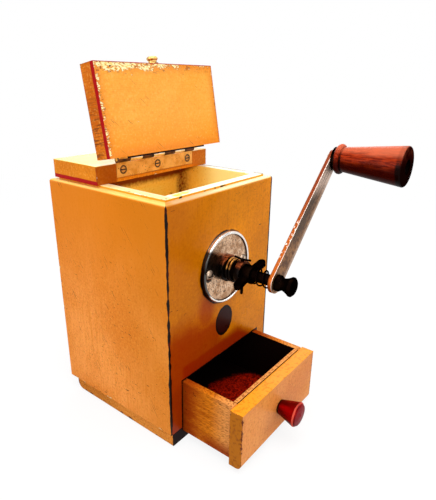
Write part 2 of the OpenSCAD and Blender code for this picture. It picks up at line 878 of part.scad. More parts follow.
// Rear bearing: a bar on two posts behind the burr ring, with a boss for the shaft's journal
module rear_bridge() {
    boss_r = journal_d;
    post_low = ring_r + 2 * run;
    post_high = housing_r;
    color(iron) into_case() difference() {
        union() {
            slab([-post_high, -bridge_h / 2, bridge_start],
                [post_high, bridge_h / 2, bridge_start + bridge_t]);
            translate([0, 0, bridge_start]) cylinder(r = boss_r, h = bridge_t);
            for (side = [-1, 1]) slab([min(side * post_low, side * post_high), -bridge_h / 2, ring_end],
                [max(side * post_low, side * post_high), bridge_h / 2, bridge_start]);
        }
        translate([0, 0, bridge_start - cut]) cylinder(d = journal_d + 2 * run, h = bridge_t + 2 * cut);
        on_both_sides(bridge_x) translate([0, 0, ring_end - cut])
            cylinder(d = bridge_screw_d + 2 * seat, h = bridge_gap + bridge_t + 2 * cut);
    }
}

module bridge_screws() {
    head_d = 2 * bridge_screw_d;
    length = bridge_gap + bridge_t + bridge_screw_in - seat;
    color(dark_steel) into_case() on_both_sides(bridge_x)
        translate([0, 0, bridge_start + bridge_t]) {
            translate([0, 0, -length]) cylinder(d = bridge_screw_d, h = length);
            cylinder(d = head_d, h = bridge_screw_d);
        }
}

module thrust_collar() {
    color(dark_steel) on_shaft() difference() {
        translate([0, 0, collar_in]) cylinder(d = collar_d, h = collar_l);
        translate([0, 0, collar_in - cut]) cylinder(d = shaft_d + 2 * run, h = collar_l + 2 * cut);
        translate([0, collar_d, split_pin_t]) rotate([90, 0, 0])
            cylinder(d = split_pin_d + 2 * seat, h = 2 * collar_d);
    }
}

// Split pin: a folded wire through collar and shaft, with its two legs bent apart on top
module split_pin() {
    top = collar_d / 2 + pin_wire;
    lift = 8;
    slit = pin_wire / 4;
    color(dark_steel) on_shaft() translate([0, 0, split_pin_t]) difference() {
        union() {
            translate([0, top, 0]) rotate([90, 0, 0]) cylinder(d = split_pin_d, h = top + pin_reach);
            translate([0, -pin_reach, 0]) sphere(d = split_pin_d);
            translate([0, top, 0]) sphere(d = split_pin_d);
            for (side = [-1, 1]) translate([0, top, 0]) rotate([side > 0 ? -lift : 180 + lift, 0, 0])
                cylinder(d = 1.4 * pin_wire, h = pin_leg);
        }
        translate([-split_pin_d, -pin_reach + split_pin_d, -slit / 2])
            cube([2 * split_pin_d, pin_reach - split_pin_d - collar_d / 2 - pin_wire, slit]);
    }
}

// Wing nut with two flat ears that spread outwards
module wing_nut() {
    tip_r = wing_t * 0.8;
    root = wing_hub_d / 2 - wing_t / 2;
    tip = [wing_reach - tip_r, wing_in + 0.6 * wing_hub_l];
    color(dark_steel) on_shaft() difference() {
        union() {
            translate([0, 0, wing_in]) cylinder(d = wing_hub_d, h = wing_hub_l);
            rotate([0, 0, wing_angle]) for (side = [0, 180]) rotate([0, 0, side]) rotate([90, 0, 0])
                linear_extrude(wing_t, center = true) {
                    polygon([[root, wing_in + edge], [tip[0], tip[1] - tip_r], [tip[0], tip[1] + tip_r],
                        [root, wing_out - edge]]);
                    translate(tip) circle(tip_r);
                }
        }
        translate([0, 0, wing_in - cut]) cylinder(d = shaft_d + 2 * run, h = wing_hub_l + 2 * cut);
    }
}

// Shaft: journal, burr seat, main length with a slot for the split pin, square and stud
module shaft() {
    burr_start = ring_start - burr_nose_l;
    slot_w = split_pin_d + 2 * run;
    slot_l = split_pin_d + 2 * pin_travel;
    color(steel) on_shaft() difference() {
        union() {
            translate([0, 0, -shaft_back]) cylinder(d = journal_d, h = shaft_back);
            translate([0, 0, -ring_end - burr_nut_t]) cylinder(d = burr_bore_d, h = ring_end + burr_nut_t);
            translate([0, 0, -burr_start]) cylinder(d = shaft_d, h = burr_start + arm_out);
            rotate([0, 0, crank_angle]) translate([-square_w / 2, -square_w / 2, arm_out])
                cube([square_w, square_w, arm_t]);
            translate([0, 0, arm_out]) cylinder(d = stud_d, h = arm_t + stud_l);
        }
        slab([-slot_w / 2, -shaft_d, split_pin_t - slot_l / 2],
            [slot_w / 2, shaft_d, split_pin_t + slot_l / 2]);
    }
}

// Spring wire: straight ends along the shaft, helix between them
spring_start = wing_out + spring_gap;
spring_end = arm_out - seat;
helix_start = spring_start + spring_wire;
helix_l = spring_end - spring_wire - helix_start;
spring_phase = -100;
curl_rings = 8;
wire_sides = 6;
spring_steps = ceil(curl_rings * spring_turns);
function spring_angle(i) = spring_phase + 360 * spring_turns * i / spring_steps;
function spring_point(angle, z) = [spring_d / 2 * cos(angle), spring_d / 2 * sin(angle), z];
spring_angles = concat([spring_angle(0)], [for (i = [0 : spring_steps]) spring_angle(i)],
    [spring_angle(spring_steps)]);
spring_line = concat([spring_point(spring_angle(0), spring_start)],
    [for (i = [0 : spring_steps]) spring_point(spring_angle(i), helix_start + helix_l * i / spring_steps)],
    [spring_point(spring_angle(spring_steps), spring_end)]);
spring_last = len(spring_line) - 1;
function heading(i) = let (d = spring_line[min(i + 1, spring_last)] - spring_line[max(i - 1, 0)]) d / norm(d);
function wire_ring(i) = let (out = [cos(spring_angles[i]), sin(spring_angles[i]), 0],
    across = cross(heading(i), out))
    [for (k = [0 : wire_sides - 1]) let (a = 360 * k / wire_sides)
        spring_line[i] + spring_wire / 2 * (cos(a) * out + sin(a) * across)];
spring_gaps = [for (i = [0 : spring_last], j = [0 : spring_last]) if (j - i > curl_rings / 2)
    norm(spring_line[i] - spring_line[j]) - spring_wire];
echo("least gap between the spring's curls, mm", min(spring_gaps));

module spring() {
    n = wire_sides;
    points = [for (i = [0 : spring_last]) each wire_ring(i)];
    sides = [for (i = [0 : spring_last - 1], k = [0 : n - 1]) let (a = i * n + k, b = i * n + (k + 1) % n)
        each [[a, a + n, b], [b, a + n, b + n]]];
    near_cap = [for (k = [1 : n - 2]) [0, k, k + 1]];
    far_cap = [for (k = [1 : n - 2]) spring_last * n * [1, 1, 1] + [0, k + 1, k]];
    color(dark_steel) on_shaft() polyhedron(points = points, faces = concat(sides, near_cap, far_cap));
}

// Places children on the crank's line, with local X along the arm
module on_crank() {
    on_shaft() rotate([0, 0, crank_angle]) children();
}

// Places children on the grip's axis
module on_grip() {
    on_crank() translate([crank_r, 0, 0]) children();
}

module crank_arm() {
    color(steel) on_crank() translate([0, 0, arm_out]) difference() {
        linear_extrude(arm_t) {
            circle(d = arm_w_shaft);
            translate([crank_r, 0]) circle(d = arm_w_grip);
            polygon([[0, -arm_w_shaft / 2], [crank_r, -arm_w_grip / 2], [crank_r, arm_w_grip / 2],
                [0, arm_w_shaft / 2]]);
        }
        translate([-square_w / 2 - seat, -square_w / 2 - seat, -cut])
            cube([square_w + 2 * seat, square_w + 2 * seat, arm_t + 2 * cut]);
        translate([crank_r, 0, -cut]) cylinder(d = spindle_d + 2 * seat, h = arm_t + 2 * cut);
    }
}

// Flared nut: a base ring, a neck and a trumpet-shaped rim
module crank_nut() {
    ring_h = nut_l * 0.18;
    neck_at = nut_l * 0.34;
    lip = nut_l * 0.08;
    steps = 8;
    flare_l = nut_l - 2 * lip - neck_at;
    flare = [for (i = [0 : steps]) let (u = i / steps)
        [nut_neck_d / 2 + (nut_rim_d - nut_neck_d) / 2 * pow(u, 1.7), neck_at + flare_l * u]];
    color(dark_steel) on_shaft() translate([0, 0, arm_front]) difference() {
        turned() polygon(concat([[0, 0], [nut_base_d / 2, 0], [nut_base_d / 2, ring_h]], flare,
            [[nut_rim_d / 2, nut_l - lip], [nut_rim_d / 2 - lip, nut_l], [0, nut_l]]));
        translate([0, 0, -cut]) cylinder(d = stud_d + 2 * seat, h = stud_l + 2 * cut);
    }
}

// Spindle riveted into the arm, with a head in the grip's recess
module grip_spindle() {
    head_at = grip_out - grip_recess_h + axial_play;
    color(dark_steel) on_grip() {
        translate([0, 0, arm_out - rivet_h]) cylinder(d1 = rivet_d - rivet_h, d2 = rivet_d, h = rivet_h);
        translate([0, 0, arm_out - rivet_h])
            cylinder(d = spindle_d, h = head_at - arm_out + rivet_h + spindle_head_h);
        translate([0, 0, head_at]) cylinder(d = spindle_head_d, h = spindle_head_h);
    }
}

module neck_washer() {
    color(dark_steel) on_grip() translate([0, 0, arm_front]) difference() {
        cylinder(d = neck_washer_d, h = neck_washer_t);
        translate([0, 0, -cut]) cylinder(d = spindle_d + 2 * seat, h = neck_washer_t + 2 * cut);
    }
}

// Turned grip: a bead beside the arm, then a body that widens to a rounded end
module grip() {
    bead_r = grip_l * 0.042;
    body_at = 3 * bead_r;
    end_r = grip_l * 0.03;
    color(grip_wood) on_grip() translate([0, 0, grip_in]) difference() {
        turned() {
            translate([grip_bead_d / 2 - bead_r, bead_r]) circle(bead_r);
            polygon([[0, 0], [grip_bead_d / 2 - bead_r, 0], [grip_bead_d / 2 - bead_r, 2 * bead_r],
                [grip_neck_d / 2, body_at], [grip_end_d / 2, grip_l - end_r],
                [grip_end_d / 2 - end_r, grip_l], [0, grip_l]]);
            translate([grip_end_d / 2 - end_r, grip_l - end_r]) circle(end_r);
        }
        translate([0, 0, -cut]) cylinder(d = spindle_d + 2 * run, h = grip_l + 2 * cut);
        translate([0, 0, grip_l - grip_recess_h]) cylinder(d = grip_recess_d, h = grip_recess_h + cut);
    }
}

left_panel();
right_panel();
front_panel();
back_panel();
left_board();
right_board();
front_board();
back_board();
hopper_back();
hopper_floor();
drawer_roof();
base_board();
left_runner();
right_runner();
hinge_block();
block_leaf();
hinge_pin();
block_leaf_screws();
face_plate();
face_plate_screws();
bearing_sleeve();
ring_nut();
mill_housing();
burr_ring();
rear_bridge();
bridge_screws();
lid_board();
lid_knob();
lid_leaf();
lid_leaf_screws();
drawer_front();
drawer_inner_front();
drawer_left();
drawer_right();
drawer_back();
drawer_bottom();
drawer_knob();
drawer_knob_screw();
thrust_collar();
split_pin();
wing_nut();
shaft();
burr_cone();
burr_nut();
spring();
crank_arm();
crank_nut();
grip_spindle();
neck_washer();
grip();
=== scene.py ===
# %% [markdown]
# A wooden coffee mill. This lesson dresses its solids: the boxes, boards and turned parts come
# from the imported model, already in place, and each cell gives some of them a finish or adds a
# piece that is finer than the solids, such as a thread or a wire spring. Lengths are in metres.
# For someone who faces the mill, x runs to the right, y away from them and z up.

# %% Load the solids
import math

import bpy
from mathutils import Matrix, Vector


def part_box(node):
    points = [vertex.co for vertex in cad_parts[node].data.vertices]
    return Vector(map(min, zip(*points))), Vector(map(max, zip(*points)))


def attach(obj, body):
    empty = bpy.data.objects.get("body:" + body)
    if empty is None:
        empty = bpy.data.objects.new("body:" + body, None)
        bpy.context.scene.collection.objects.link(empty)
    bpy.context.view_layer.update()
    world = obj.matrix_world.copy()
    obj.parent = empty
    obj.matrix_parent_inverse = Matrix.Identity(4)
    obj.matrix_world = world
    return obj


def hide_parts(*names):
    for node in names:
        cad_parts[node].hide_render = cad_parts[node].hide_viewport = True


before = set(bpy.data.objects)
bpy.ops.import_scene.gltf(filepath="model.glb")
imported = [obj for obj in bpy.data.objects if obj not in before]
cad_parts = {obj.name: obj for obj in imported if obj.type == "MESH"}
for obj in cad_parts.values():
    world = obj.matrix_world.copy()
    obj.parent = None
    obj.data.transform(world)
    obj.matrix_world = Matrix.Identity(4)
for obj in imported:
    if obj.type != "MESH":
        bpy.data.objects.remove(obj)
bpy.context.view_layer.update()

scene = bpy.context.scene
scene.view_settings.view_transform = "Standard"

# %% [markdown]
# The camera stands in front of the mill's left corner and a little above the lid's hinge. A real
# photograph was matched for it: upright edges of the case gave the tilt, and the case's corners
# gave the distance. It leans by less than a degree, as a camera held by hand does.

# %% Camera
camera_place = (-0.24939, -0.24411, 0.25296)
azimuth, elevation, lean = (math.radians(angle) for angle in (-52.4746, 20.515, 0.868))
behind = Vector((math.sin(azimuth) * math.cos(elevation), -math.cos(azimuth) * math.cos(elevation),
                 math.sin(elevation)))
level_right = Vector((0, 0, 1)).cross(behind).normalized()
level_up = behind.cross(level_right)
right = math.cos(lean) * level_right + math.sin(lean) * level_up
up = math.cos(lean) * level_up - math.sin(lean) * level_right
camera_turn = Matrix((right, up, behind)).transposed().to_4x4()

camera = bpy.data.objects.new("Camera", bpy.data.cameras.new("Camera"))
scene.collection.objects.link(camera)
camera.matrix_world = Matrix.Translation(camera_place) @ camera_turn
camera.data.sensor_fit = "VERTICAL"
camera.data.sensor_height = 36
camera.data.sensor_width = 36
camera.data.lens = 33.11
camera.data.clip_start = 0.01
scene.camera = camera
print("camera at", tuple(round(value, 3) for value in camera.location))

# %% [markdown]
# A pattern in a material is a net of shader nodes, and wiring them one by one makes long code. Here
# a Field stands for the socket that carries a value. A sum of fields adds the Math nodes and wires
# them, so that an effect reads like a sum. The node tree comes along with the socket.

# %% Values on a surface
class Field:
    def __init__(self, socket):
        self.socket = socket
        self.tree = socket.id_data

    def __add__(self, other):
        return maths("ADD", self, other)

    def __sub__(self, other):
        return maths("SUBTRACT", self, other)

    def __rsub__(self, other):
        return maths("SUBTRACT", other, self)

    def __mul__(self, other):
        return maths("MULTIPLY", self, other)

    def __truediv__(self, other):
        return maths("DIVIDE", self, other)

    def __abs__(self):
        return maths("ABSOLUTE", self)


def feed(socket, value):
    if isinstance(value, Field):
        value.tree.links.new(value.socket, socket)
    elif isinstance(value, str):
        socket.default_value = colour(value)
    else:
        socket.default_value = value


def put(tree, kind, values=None, **settings):
    made = tree.nodes.new(kind)
    for key, value in settings.items():
        setattr(made, key, value)
    for key, value in (values or {}).items():
        feed(made.inputs[key], value)
    return made


def out(node, which=0):
    return Field(node.outputs[which])


def maths(operation, first, second=0.0):
    tree = first.tree if isinstance(first, Field) else second.tree
    return out(put(tree, "ShaderNodeMath", {0: first, 1: second}, operation=operation))


def largest(first, *others):
    for other in others:
        first = maths("MAXIMUM", first, other)
    return first


def smallest(first, *others):
    for other in others:
        first = maths("MINIMUM", first, other)
    return first


def distance(aside, level):
    return maths("SQRT", aside * aside + level * level)


print("fields ready")

# %% [markdown]
# The next helpers make the nodes that every finish needs. A fade is a soft step from nought to one
# between two values, and it may run downwards. A tint lays one colour over another through a mask.
# A noise is a cloudy pattern, finer with a larger scale, and it can be drawn out along an axis. An
# uneven value is a noise about nought, which makes a straight border ragged.

# %% Colours and patterns
def colour(code):
    parts = [int(code[place:place + 2], 16) / 255 for place in (1, 3, 5)]
    return [part / 12.92 if part <= 0.04045 else ((part + 0.055) / 1.055) ** 2.4 for part in parts] + [1.0]


def tint(mask, under, over):
    return out(put(mask.tree, "ShaderNodeMix", {0: mask, 6: under, 7: over}, data_type="RGBA"), 2)


def fade(value, start, end):
    limits = {"Value": value, "From Min": start, "From Max": end}
    return out(put(value.tree, "ShaderNodeMapRange", limits, interpolation_type="SMOOTHSTEP"))


def vector_maths(operation, first, second=(0.0, 0.0, 0.0)):
    return out(put(first.tree, "ShaderNodeVectorMath", {0: first, 1: second}, operation=operation))


def noise(place, scale, detail=3.0, stretch=None):
    if stretch is not None:
        place = vector_maths("MULTIPLY", place, stretch)
    pattern = {"Vector": place, "Scale": scale, "Detail": detail}
    return out(put(place.tree, "ShaderNodeTexNoise", pattern), "Fac")


def uneven(place, scale, detail, size, stretch=None):
    return (noise(place, scale, detail, stretch) - 0.5) * size


def split(place):
    parts = put(place.tree, "ShaderNodeSeparateXYZ", {0: place})
    return [out(parts, which) for which in range(3)]


def join(across, along, upward):
    return out(put(across.tree, "ShaderNodeCombineXYZ", {0: across, 1: along, 2: upward}))


print("patterns ready")

# %% [markdown]
# Effects that several finishes share are node groups: each is built once and placed in a material
# with values of its own. The line with @ turns the function below it into a group, and calling the
# function afterwards places that group. The first one measures how far a point on a board is from
# the board's edges. On a box, the distance to the nearest face is nought all over the surface, so
# the second smallest of the three distances is the distance to an edge.

# %% Group: distance to a board's edges
vector_labels = ("Position", "Centre", "Half", "Stretch")


def shared_effect(name, wants, gives):
    tree = bpy.data.node_groups.new(name, "ShaderNodeTree")
    for label in wants:
        kind = "NodeSocketVector" if label in vector_labels else "NodeSocketFloat"
        tree.interface.new_socket(label, in_out="INPUT", socket_type=kind)
    for label in gives:
        tree.interface.new_socket(label, in_out="OUTPUT", socket_type="NodeSocketFloat")

    def place_group(*values):
        placed = put(values[0].tree, "ShaderNodeGroup", dict(zip(wants, values)), node_tree=tree)
        fields = [out(placed, label) for label in gives]
        return fields if len(fields) > 1 else fields[0]

    def build(effect):
        given = put(tree, "NodeGroupInput")
        result = put(tree, "NodeGroupOutput")
        made = effect(*(out(given, label) for label in wants))
        for label, value in zip(gives, made if len(gives) > 1 else [made]):
            feed(result.inputs[label], value)
        print("group:", name)
        return place_group

    return build


@shared_effect("Board edges", ("Position", "Centre", "Half"), ("Edge", "Corner"))
def board_edges(place, centre, half):
    away = vector_maths("ABSOLUTE", vector_maths("SUBTRACT", place, centre))
    across, along, upward = split(vector_maths("SUBTRACT", half, away))
    corner = largest(across, along)
    return largest(smallest(across, along), smallest(corner, upward)), corner


# %% [markdown]
# Old paint chips where hands and other boards knock it, so chips are dense at an edge and rare a
# few millimetres in. A noise is cut at a threshold that climbs with the distance from the edge.
# The same noise, cut a little lower, gives the dark dirty border around each chip.

# %% Group: chipped paint
@shared_effect("Chipped paint", ("Position", "Edge", "Reach", "Amount", "Scale"), ("Chips", "Border"))
def chipped_paint(place, edge, reach, amount, scale):
    over = noise(place, scale, 6.0) - (0.75 - amount + edge / reach * 0.3)
    chips = fade(over, 0.0, 0.025)
    return chips, fade(over, -0.035, -0.01) - chips


# %% [markdown]
# Three more groups: wood grain as a noise drawn out along the board, specks of dirt as the rare
# peaks of a fine noise, and tarnish on metal as soft patches with small dark pits and fine scuffs.
# Painted pictures could give the same marks, but a noise has no seams and stays sharp close up.

# %% Groups: grain, specks and tarnish
@shared_effect("Wood grain", ("Position", "Stretch"), ("Grain",))
def wood_grain(place, stretch):
    drawn = vector_maths("MULTIPLY", place, stretch)
    return noise(vector_maths("ADD", drawn, noise(place, 25.0, 2.0)), 1.0, 5.0)


@shared_effect("Dirt specks", ("Position", "Scale", "Amount"), ("Specks",))
def dirt_specks(place, scale, amount):
    level = 0.86 - amount * noise(place, 30.0, 2.0)
    dots = fade(noise(place, scale, 3.0) - level, 0.0, 0.03)
    dashes = noise(place, scale, 2.0, (0.16, 0.16, 0.9))
    return largest(dots, fade(dashes - (level + 0.03), 0.0, 0.02))


@shared_effect("Tarnish", ("Position", "Scale"), ("Patches", "Pits", "Scuffs"))
def tarnish(place, scale):
    patches = fade(noise(place, scale, 5.0), 0.38, 0.66)
    pits = fade(noise(place, scale * 6.0, 3.0), 0.62, 0.7)
    return patches, pits, noise(place, scale * 14.0, 4.0)


# %% [markdown]
# Every finish starts as a Principled surface whose position comes from the piece's own metres, so
# that a pattern stays on the wood when the lid or the drawer moves. The lid's board is thought of
# as shut: its position is turned back about the hinge pin before it is measured.

# %% Starting a finish
def middle(node):
    return [(low + high) / 2 for low, high in zip(*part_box(node))]


hinge_pin = middle("hinge_pin")
lid_opening = math.radians(100)


def shut_place(place):
    turn = {"Vector": place, "Center": hinge_pin, "Angle": lid_opening}
    return out(put(place.tree, "ShaderNodeVectorRotate", turn, rotation_type="X_AXIS"))


class Finish:
    def __init__(self, name, on_lid=False):
        self.material = bpy.data.materials.new(name)
        self.material.use_nodes = True
        self.tree = self.material.node_tree
        self.shader = self.tree.nodes["Principled BSDF"]
        self.surface = self.shader.inputs
        place = out(put(self.tree, "ShaderNodeTexCoord"), "Object")
        self.place = shut_place(place) if on_lid else place
        self.across, self.along, self.upward = split(self.place)

    def cover(self, base):
        self.base = base
        feed(self.surface["Base Color"], base)

    def tint(self, mask, shade):
        self.cover(tint(mask, self.base, shade))

    def noise(self, scale, detail=3.0, stretch=None):
        return noise(self.place, scale, detail, stretch)

    def uneven(self, scale, detail, size):
        return uneven(self.place, scale, detail, size)

    def relief(self, height, depth):
        bump = put(self.tree, "ShaderNodeBump", {"Height": height, "Strength": 0.6, "Distance": depth})
        feed(self.surface["Normal"], out(bump))


def dress(finish, *nodes):
    for name in nodes:
        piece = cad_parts[name]
        if not piece.material_slots:
            piece.data.materials.append(finish.material)
        for place in piece.material_slots:
            place.link = "OBJECT"
            place.material = finish.material


print("hinge pin at", [round(value, 4) for value in hinge_pin])

# %% [markdown]
# Painted wood is the mill's main finish: a yellow-orange gloss paint that has yellowed unevenly,
# shows a little of the grain below, and is specked with dirt. The layers are tinted from the bottom
# up: tone, grain, brush marks, mottle, dirt, a dark line along the edges, and chips. Sealing sets
# the gloss, which is kept low on the chips, and raises the paint around them.

# %% Painted wood
def painted_wood(name, tone, deep, under, box, stretch, chips, dirt, on_lid=False,
                 shade="#C06A10", glint="#FFC860"):
    paint = Finish(name, on_lid)
    centre = [(low + high) / 2 for low, high in zip(*box)]
    half = [(high - low) / 2 for low, high in zip(*box)]
    paint.edge, paint.corner = board_edges(paint.place, centre, half)
    grain = wood_grain(paint.place, stretch)
    paint.cover(tint(fade(paint.noise(16.0, 4.0), 0.32, 0.68), tone, deep))
    paint.tint(fade(grain, 0.5, 0.75) * 0.5, deep)
    paint.tint(fade(paint.noise(4.0, 4.0, stretch), 0.44, 0.66) * 0.55, deep)
    mottle = paint.noise(620.0, 5.0)
    paint.tint(fade(mottle, 0.5, 0.72) * 0.42, shade)
    paint.tint(fade(mottle, 0.5, 0.28) * 0.3, glint)
    paint.tint(dirt_specks(paint.place, 760.0, dirt), "#5E2402")
    arris = fade(paint.edge + paint.noise(210.0, 4.0) * 0.0022, 0.0014, 0.0007)
    paint.tint(arris * 0.75, "#6A2604")
    paint.chips, border = chipped_paint(paint.place, paint.edge, *chips)
    paint.tint(border * 0.7, "#6A2606")
    paint.tint(paint.chips, under)
    paint.height = grain * 0.5 - paint.chips
    return paint


def seal(paint, gloss=0.36, coat=0.06):
    feed(paint.surface["Roughness"], paint.noise(60.0, 4.0) * 0.3 + (gloss - 0.1))
    feed(paint.surface["Coat Weight"], (1.0 - paint.chips) * coat)
    paint.surface["Coat Roughness"].default_value = 0.12
    paint.surface["Specular IOR Level"].default_value = 0.06
    paint.relief(paint.height, 0.00015)
    return paint


print("painted wood ready")

# %% [markdown]
# Three kinds of wear come back on several boards. Where two panels meet at the front, the joint has
# opened and filled with black dirt along a ragged line. Years of wiping have left slanting
# scratches. Top edges carry a yellow painted highlight and are rubbed pale, least of all on the left
# side.

# %% Groups: open joints, scratches, and rubbed tops with a painted highlight
def around(*nodes):
    lows, highs = zip(*(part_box(name) for name in nodes))
    return [min(values) for values in zip(*lows)], [max(values) for values in zip(*highs)]


case_box = around("left_panel", "right_panel")
case_left, case_front, _ = case_box[0]
panel_top = case_box[1][2]


@shared_effect("Open joint", ("Position", "Corner", "Width"), ("Dark", "Soot"))
def open_joint(place, corner, width):
    ragged = corner + uneven(place, 130.0, 6.0, 0.0034)
    at_front = fade(split(place)[1], case_front + 0.029, case_front + 0.014)
    return fade(ragged, width, width - 0.0004) * at_front, fade(noise(place, 90.0, 3.0), 0.58, 0.66)


@shared_effect("Scratches", ("Position", "Slope", "Amount"), ("Marks",))
def scratches(place, slope, amount):
    across, along, upward = split(place)
    slanted = join(across, along - (upward + across) * slope, upward)
    lines = noise(slanted, 1.0, 3.0, (70.0, 1300.0, 70.0))
    return fade(lines + noise(place, 55.0, 3.0) * amount, 0.905, 0.935)


@shared_effect("Lit and rubbed top", ("Position", "Height"), ("Top", "Rubbed"))
def lit_and_rubbed_top(place, height):
    across, _, upward = split(place)
    top = fade(upward, height - 0.0014, height - 0.0004)
    wear_and_painted_light = fade(across, case_left + 0.004, case_left + 0.01) * 0.6 + 0.25
    return top, top * wear_and_painted_light * fade(noise(place, 90.0, 5.0), 0.28, 0.46)


def add_open_joint(paint, width):
    dark, soot = open_joint(paint.place, paint.corner, width)
    paint.tint(dark, tint(soot, "#0A0302", "#5A1206"))
    paint.height = paint.height - dark


def add_scratches(paint, slope, amount):
    paint.tint(scratches(paint.place, slope, amount) * 0.75, "#6A2A04")


def add_lit_and_rubbed_top(paint, height):
    top, rubbed = lit_and_rubbed_top(paint.place, height)
    # The yellow along the top edge is a painted highlight; the pale patches over it are wear.
    paint.tint(top * 0.75, "#FFCE48")
    paint.tint(rubbed, "#FFF0BE")


# %% [markdown]
# The case is four mitred panels. The two sides and the back share one material, measured on the box
# around all four, so that the tone can run on round a corner. It is painted deeper towards the top,
# so that the lower part reads paler as light from the floor, and a little browner towards the front
# as painted shade.

# %% Case panels
upright_grain = (380.0, 380.0, 14.0)

case_paint = painted_wood("case_paint", "#FE9E46", "#E68020", "#FFE0A0", case_box, upright_grain,
                          (0.004, 0.16, 160.0), 0.3, shade="#BE6404", glint="#FFC050")
# Painted light and shade: deeper towards the top, paler below, browner towards the front.
case_paint.tint(fade(case_paint.upward + case_paint.noise(14.0) * 0.03, 0.1, 0.185) * 0.85, "#E47E00")
case_paint.tint(fade(case_paint.along + case_paint.uneven(40.0, 4.0, 0.05), 0.01, -0.06) * 0.5, "#D07810")
add_scratches(case_paint, 0.7, 0.42)
add_lit_and_rubbed_top(case_paint, panel_top)
add_open_joint(case_paint, 0.0011)
dress(seal(case_paint), "left_panel", "right_panel", "back_panel")
print("case panels painted, up to", round(panel_top, 4))

# %% [markdown]
# The front is the same paint, deeper in tone and glossier, with painted shade on the left. Above the
# drawer, a dark red stands in for the drawer's reflection and shadow: a haze on the left and a band
# along the drawer's opening, with a smear of painted shadow under the round plate. Painted shade
# darkens the corner between plate and wood and the gap round the drawer. Below the plate is a plain
# dark oval patch, worn at its rim.

# %% Front panel
shaft_height = middle("shaft")[2]
drawer_roof_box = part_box("drawer_roof")
opening_half_width, opening_top = drawer_roof_box[1][0], drawer_roof_box[0][2]
shadow_across, shadow_height = -0.021, 0.094
band_height, band_turn = 0.067, 0.0196
plate_shade_radius = 0.0264
patch_middle, patch_half_width, patch_half_height = (0.0005, 0.0795), 0.0105, 0.0125


def painted_drawer_reflection_and_shade(paint):
    across, upward = paint.across, paint.upward
    # Painted shade on the left, then a painted reflection and shadow of the drawer and plate in dark red.
    left_side = fade(across, 0.03, -0.055)
    paint.tint(left_side * (fade(upward, 0.11, 0.145) * 0.25 + 0.35), "#B05400")
    ragged = paint.uneven(45.0, 5.0, 0.03)
    haze = fade(upward + ragged, 0.107, 0.08) * fade(across + ragged, 0.022, -0.012) * 0.82
    above = upward - band_height - smallest((band_turn - across) * 0.68, 0.0)
    band = fade(above + ragged * 0.15, 0.005, -0.007) * fade(across, -0.064, -0.044)
    from_plate_shadow = distance(across - shadow_across, (upward - shadow_height) * 0.6)
    paint.tint(largest(haze, band * 0.92, fade(from_plate_shadow, 0.016, 0.004) * 0.72), "#900800")


def drawer_gap(paint):
    # Painted shade: a black line on the panel round the drawer's opening.
    outside = largest(abs(paint.across) - opening_half_width, paint.upward - opening_top)
    paint.tint(fade(outside + paint.uneven(160.0, 4.0, 0.0016), 0.0013, 0.0007), "#0A0301")


def painted_shade_ring(paint, radius):
    # Painted shade: a dark ring on the panel round the plate's edge.
    from_shaft = distance(paint.across, paint.upward - shaft_height)
    ragged = from_shaft - paint.noise(110.0, 3.0) * 0.003
    paint.tint(fade(ragged, radius + 0.0008, radius - 0.0004), "#0C0402")


def oval_patch(paint):
    wide = (paint.across - patch_middle[0]) / patch_half_width
    tall = (paint.upward - patch_middle[1]) / patch_half_height
    ragged = wide * wide + tall * tall + paint.uneven(240.0, 4.0, 0.25)
    paint.tint(fade(ragged, 1.0, 0.94), "#0A0302")
    paint.tint(fade(ragged, 0.72, 0.66) * 0.6, "#3A0804")


front_paint = painted_wood("front_paint", "#FA9600", "#DC7E00", "#F2C070", case_box, upright_grain,
                           (0.004, 0.14, 160.0), 0.26, shade="#B86200", glint="#FFA818")
add_lit_and_rubbed_top(front_paint, panel_top)
painted_drawer_reflection_and_shade(front_paint)
drawer_gap(front_paint)
add_open_joint(front_paint, 0.0015)
painted_shade_ring(front_paint, plate_shade_radius)
oval_patch(front_paint)
dress(seal(front_paint, 0.28), "front_panel")
print("front panel painted, shaft at", round(shaft_height, 4))

# %% [markdown]
# The hopper's boards are painted cream inside. Painted shade darkens the back under the block, high
# up, and the back right corner, and painted light brightens the right wall. The boards rise a little
# above the panels, and that step is orange with dark cracks. Their top edges are almost white, from
# wear and a painted highlight, with dark specks and a dark line along the right.

# %% Hopper boards
board_box = around("left_board", "right_board")
outer_half, _, rim = board_box[1]
outer_front = board_box[0][1]
inner_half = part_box("right_board")[0][0]
back_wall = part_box("hopper_back")[0][1]
hopper_low = 0.15
hopper_box = ((-outer_half, outer_front, hopper_low), board_box[1])


def hopper_light_shade_and_cracks(paint):
    across, along, upward = paint.across, paint.along, paint.upward
    inside = fade(upward, rim - 0.0002, rim - 0.0006)
    # Painted light on the right wall, then painted shade under the block and in the back right corner.
    right_wall = fade(across, inner_half - 0.001, inner_half - 0.0003) * inside
    paint.tint(right_wall * fade(along, 0.012, -0.018), "#FFF2A0")
    leaning = upward + (along - back_wall) * 0.55 + paint.uneven(420.0, 5.0, 0.004)
    under_block = fade(leaning, 0.17, 0.176) * (fade(along, 0.004, 0.009) * inside)
    corner = fade(across, inner_half - 0.0065, inner_half) * fade(along, 0.012, 0.026) * inside
    patchy = fade(paint.noise(480.0, 5.0), 0.42, 0.62) * 0.4 + 0.6
    paint.tint(largest(under_block, corner * patchy) * 0.95, "#742600")
    outer = largest(fade(abs(across), outer_half - 0.0004, outer_half - 0.0001),
                    fade(along, outer_front + 0.0004, outer_front + 0.0001))
    crack = fade(paint.noise(160.0, 5.0), 0.56, 0.62)
    paint.tint(outer * inside, tint(crack, "#E89A28", "#3A1404"))


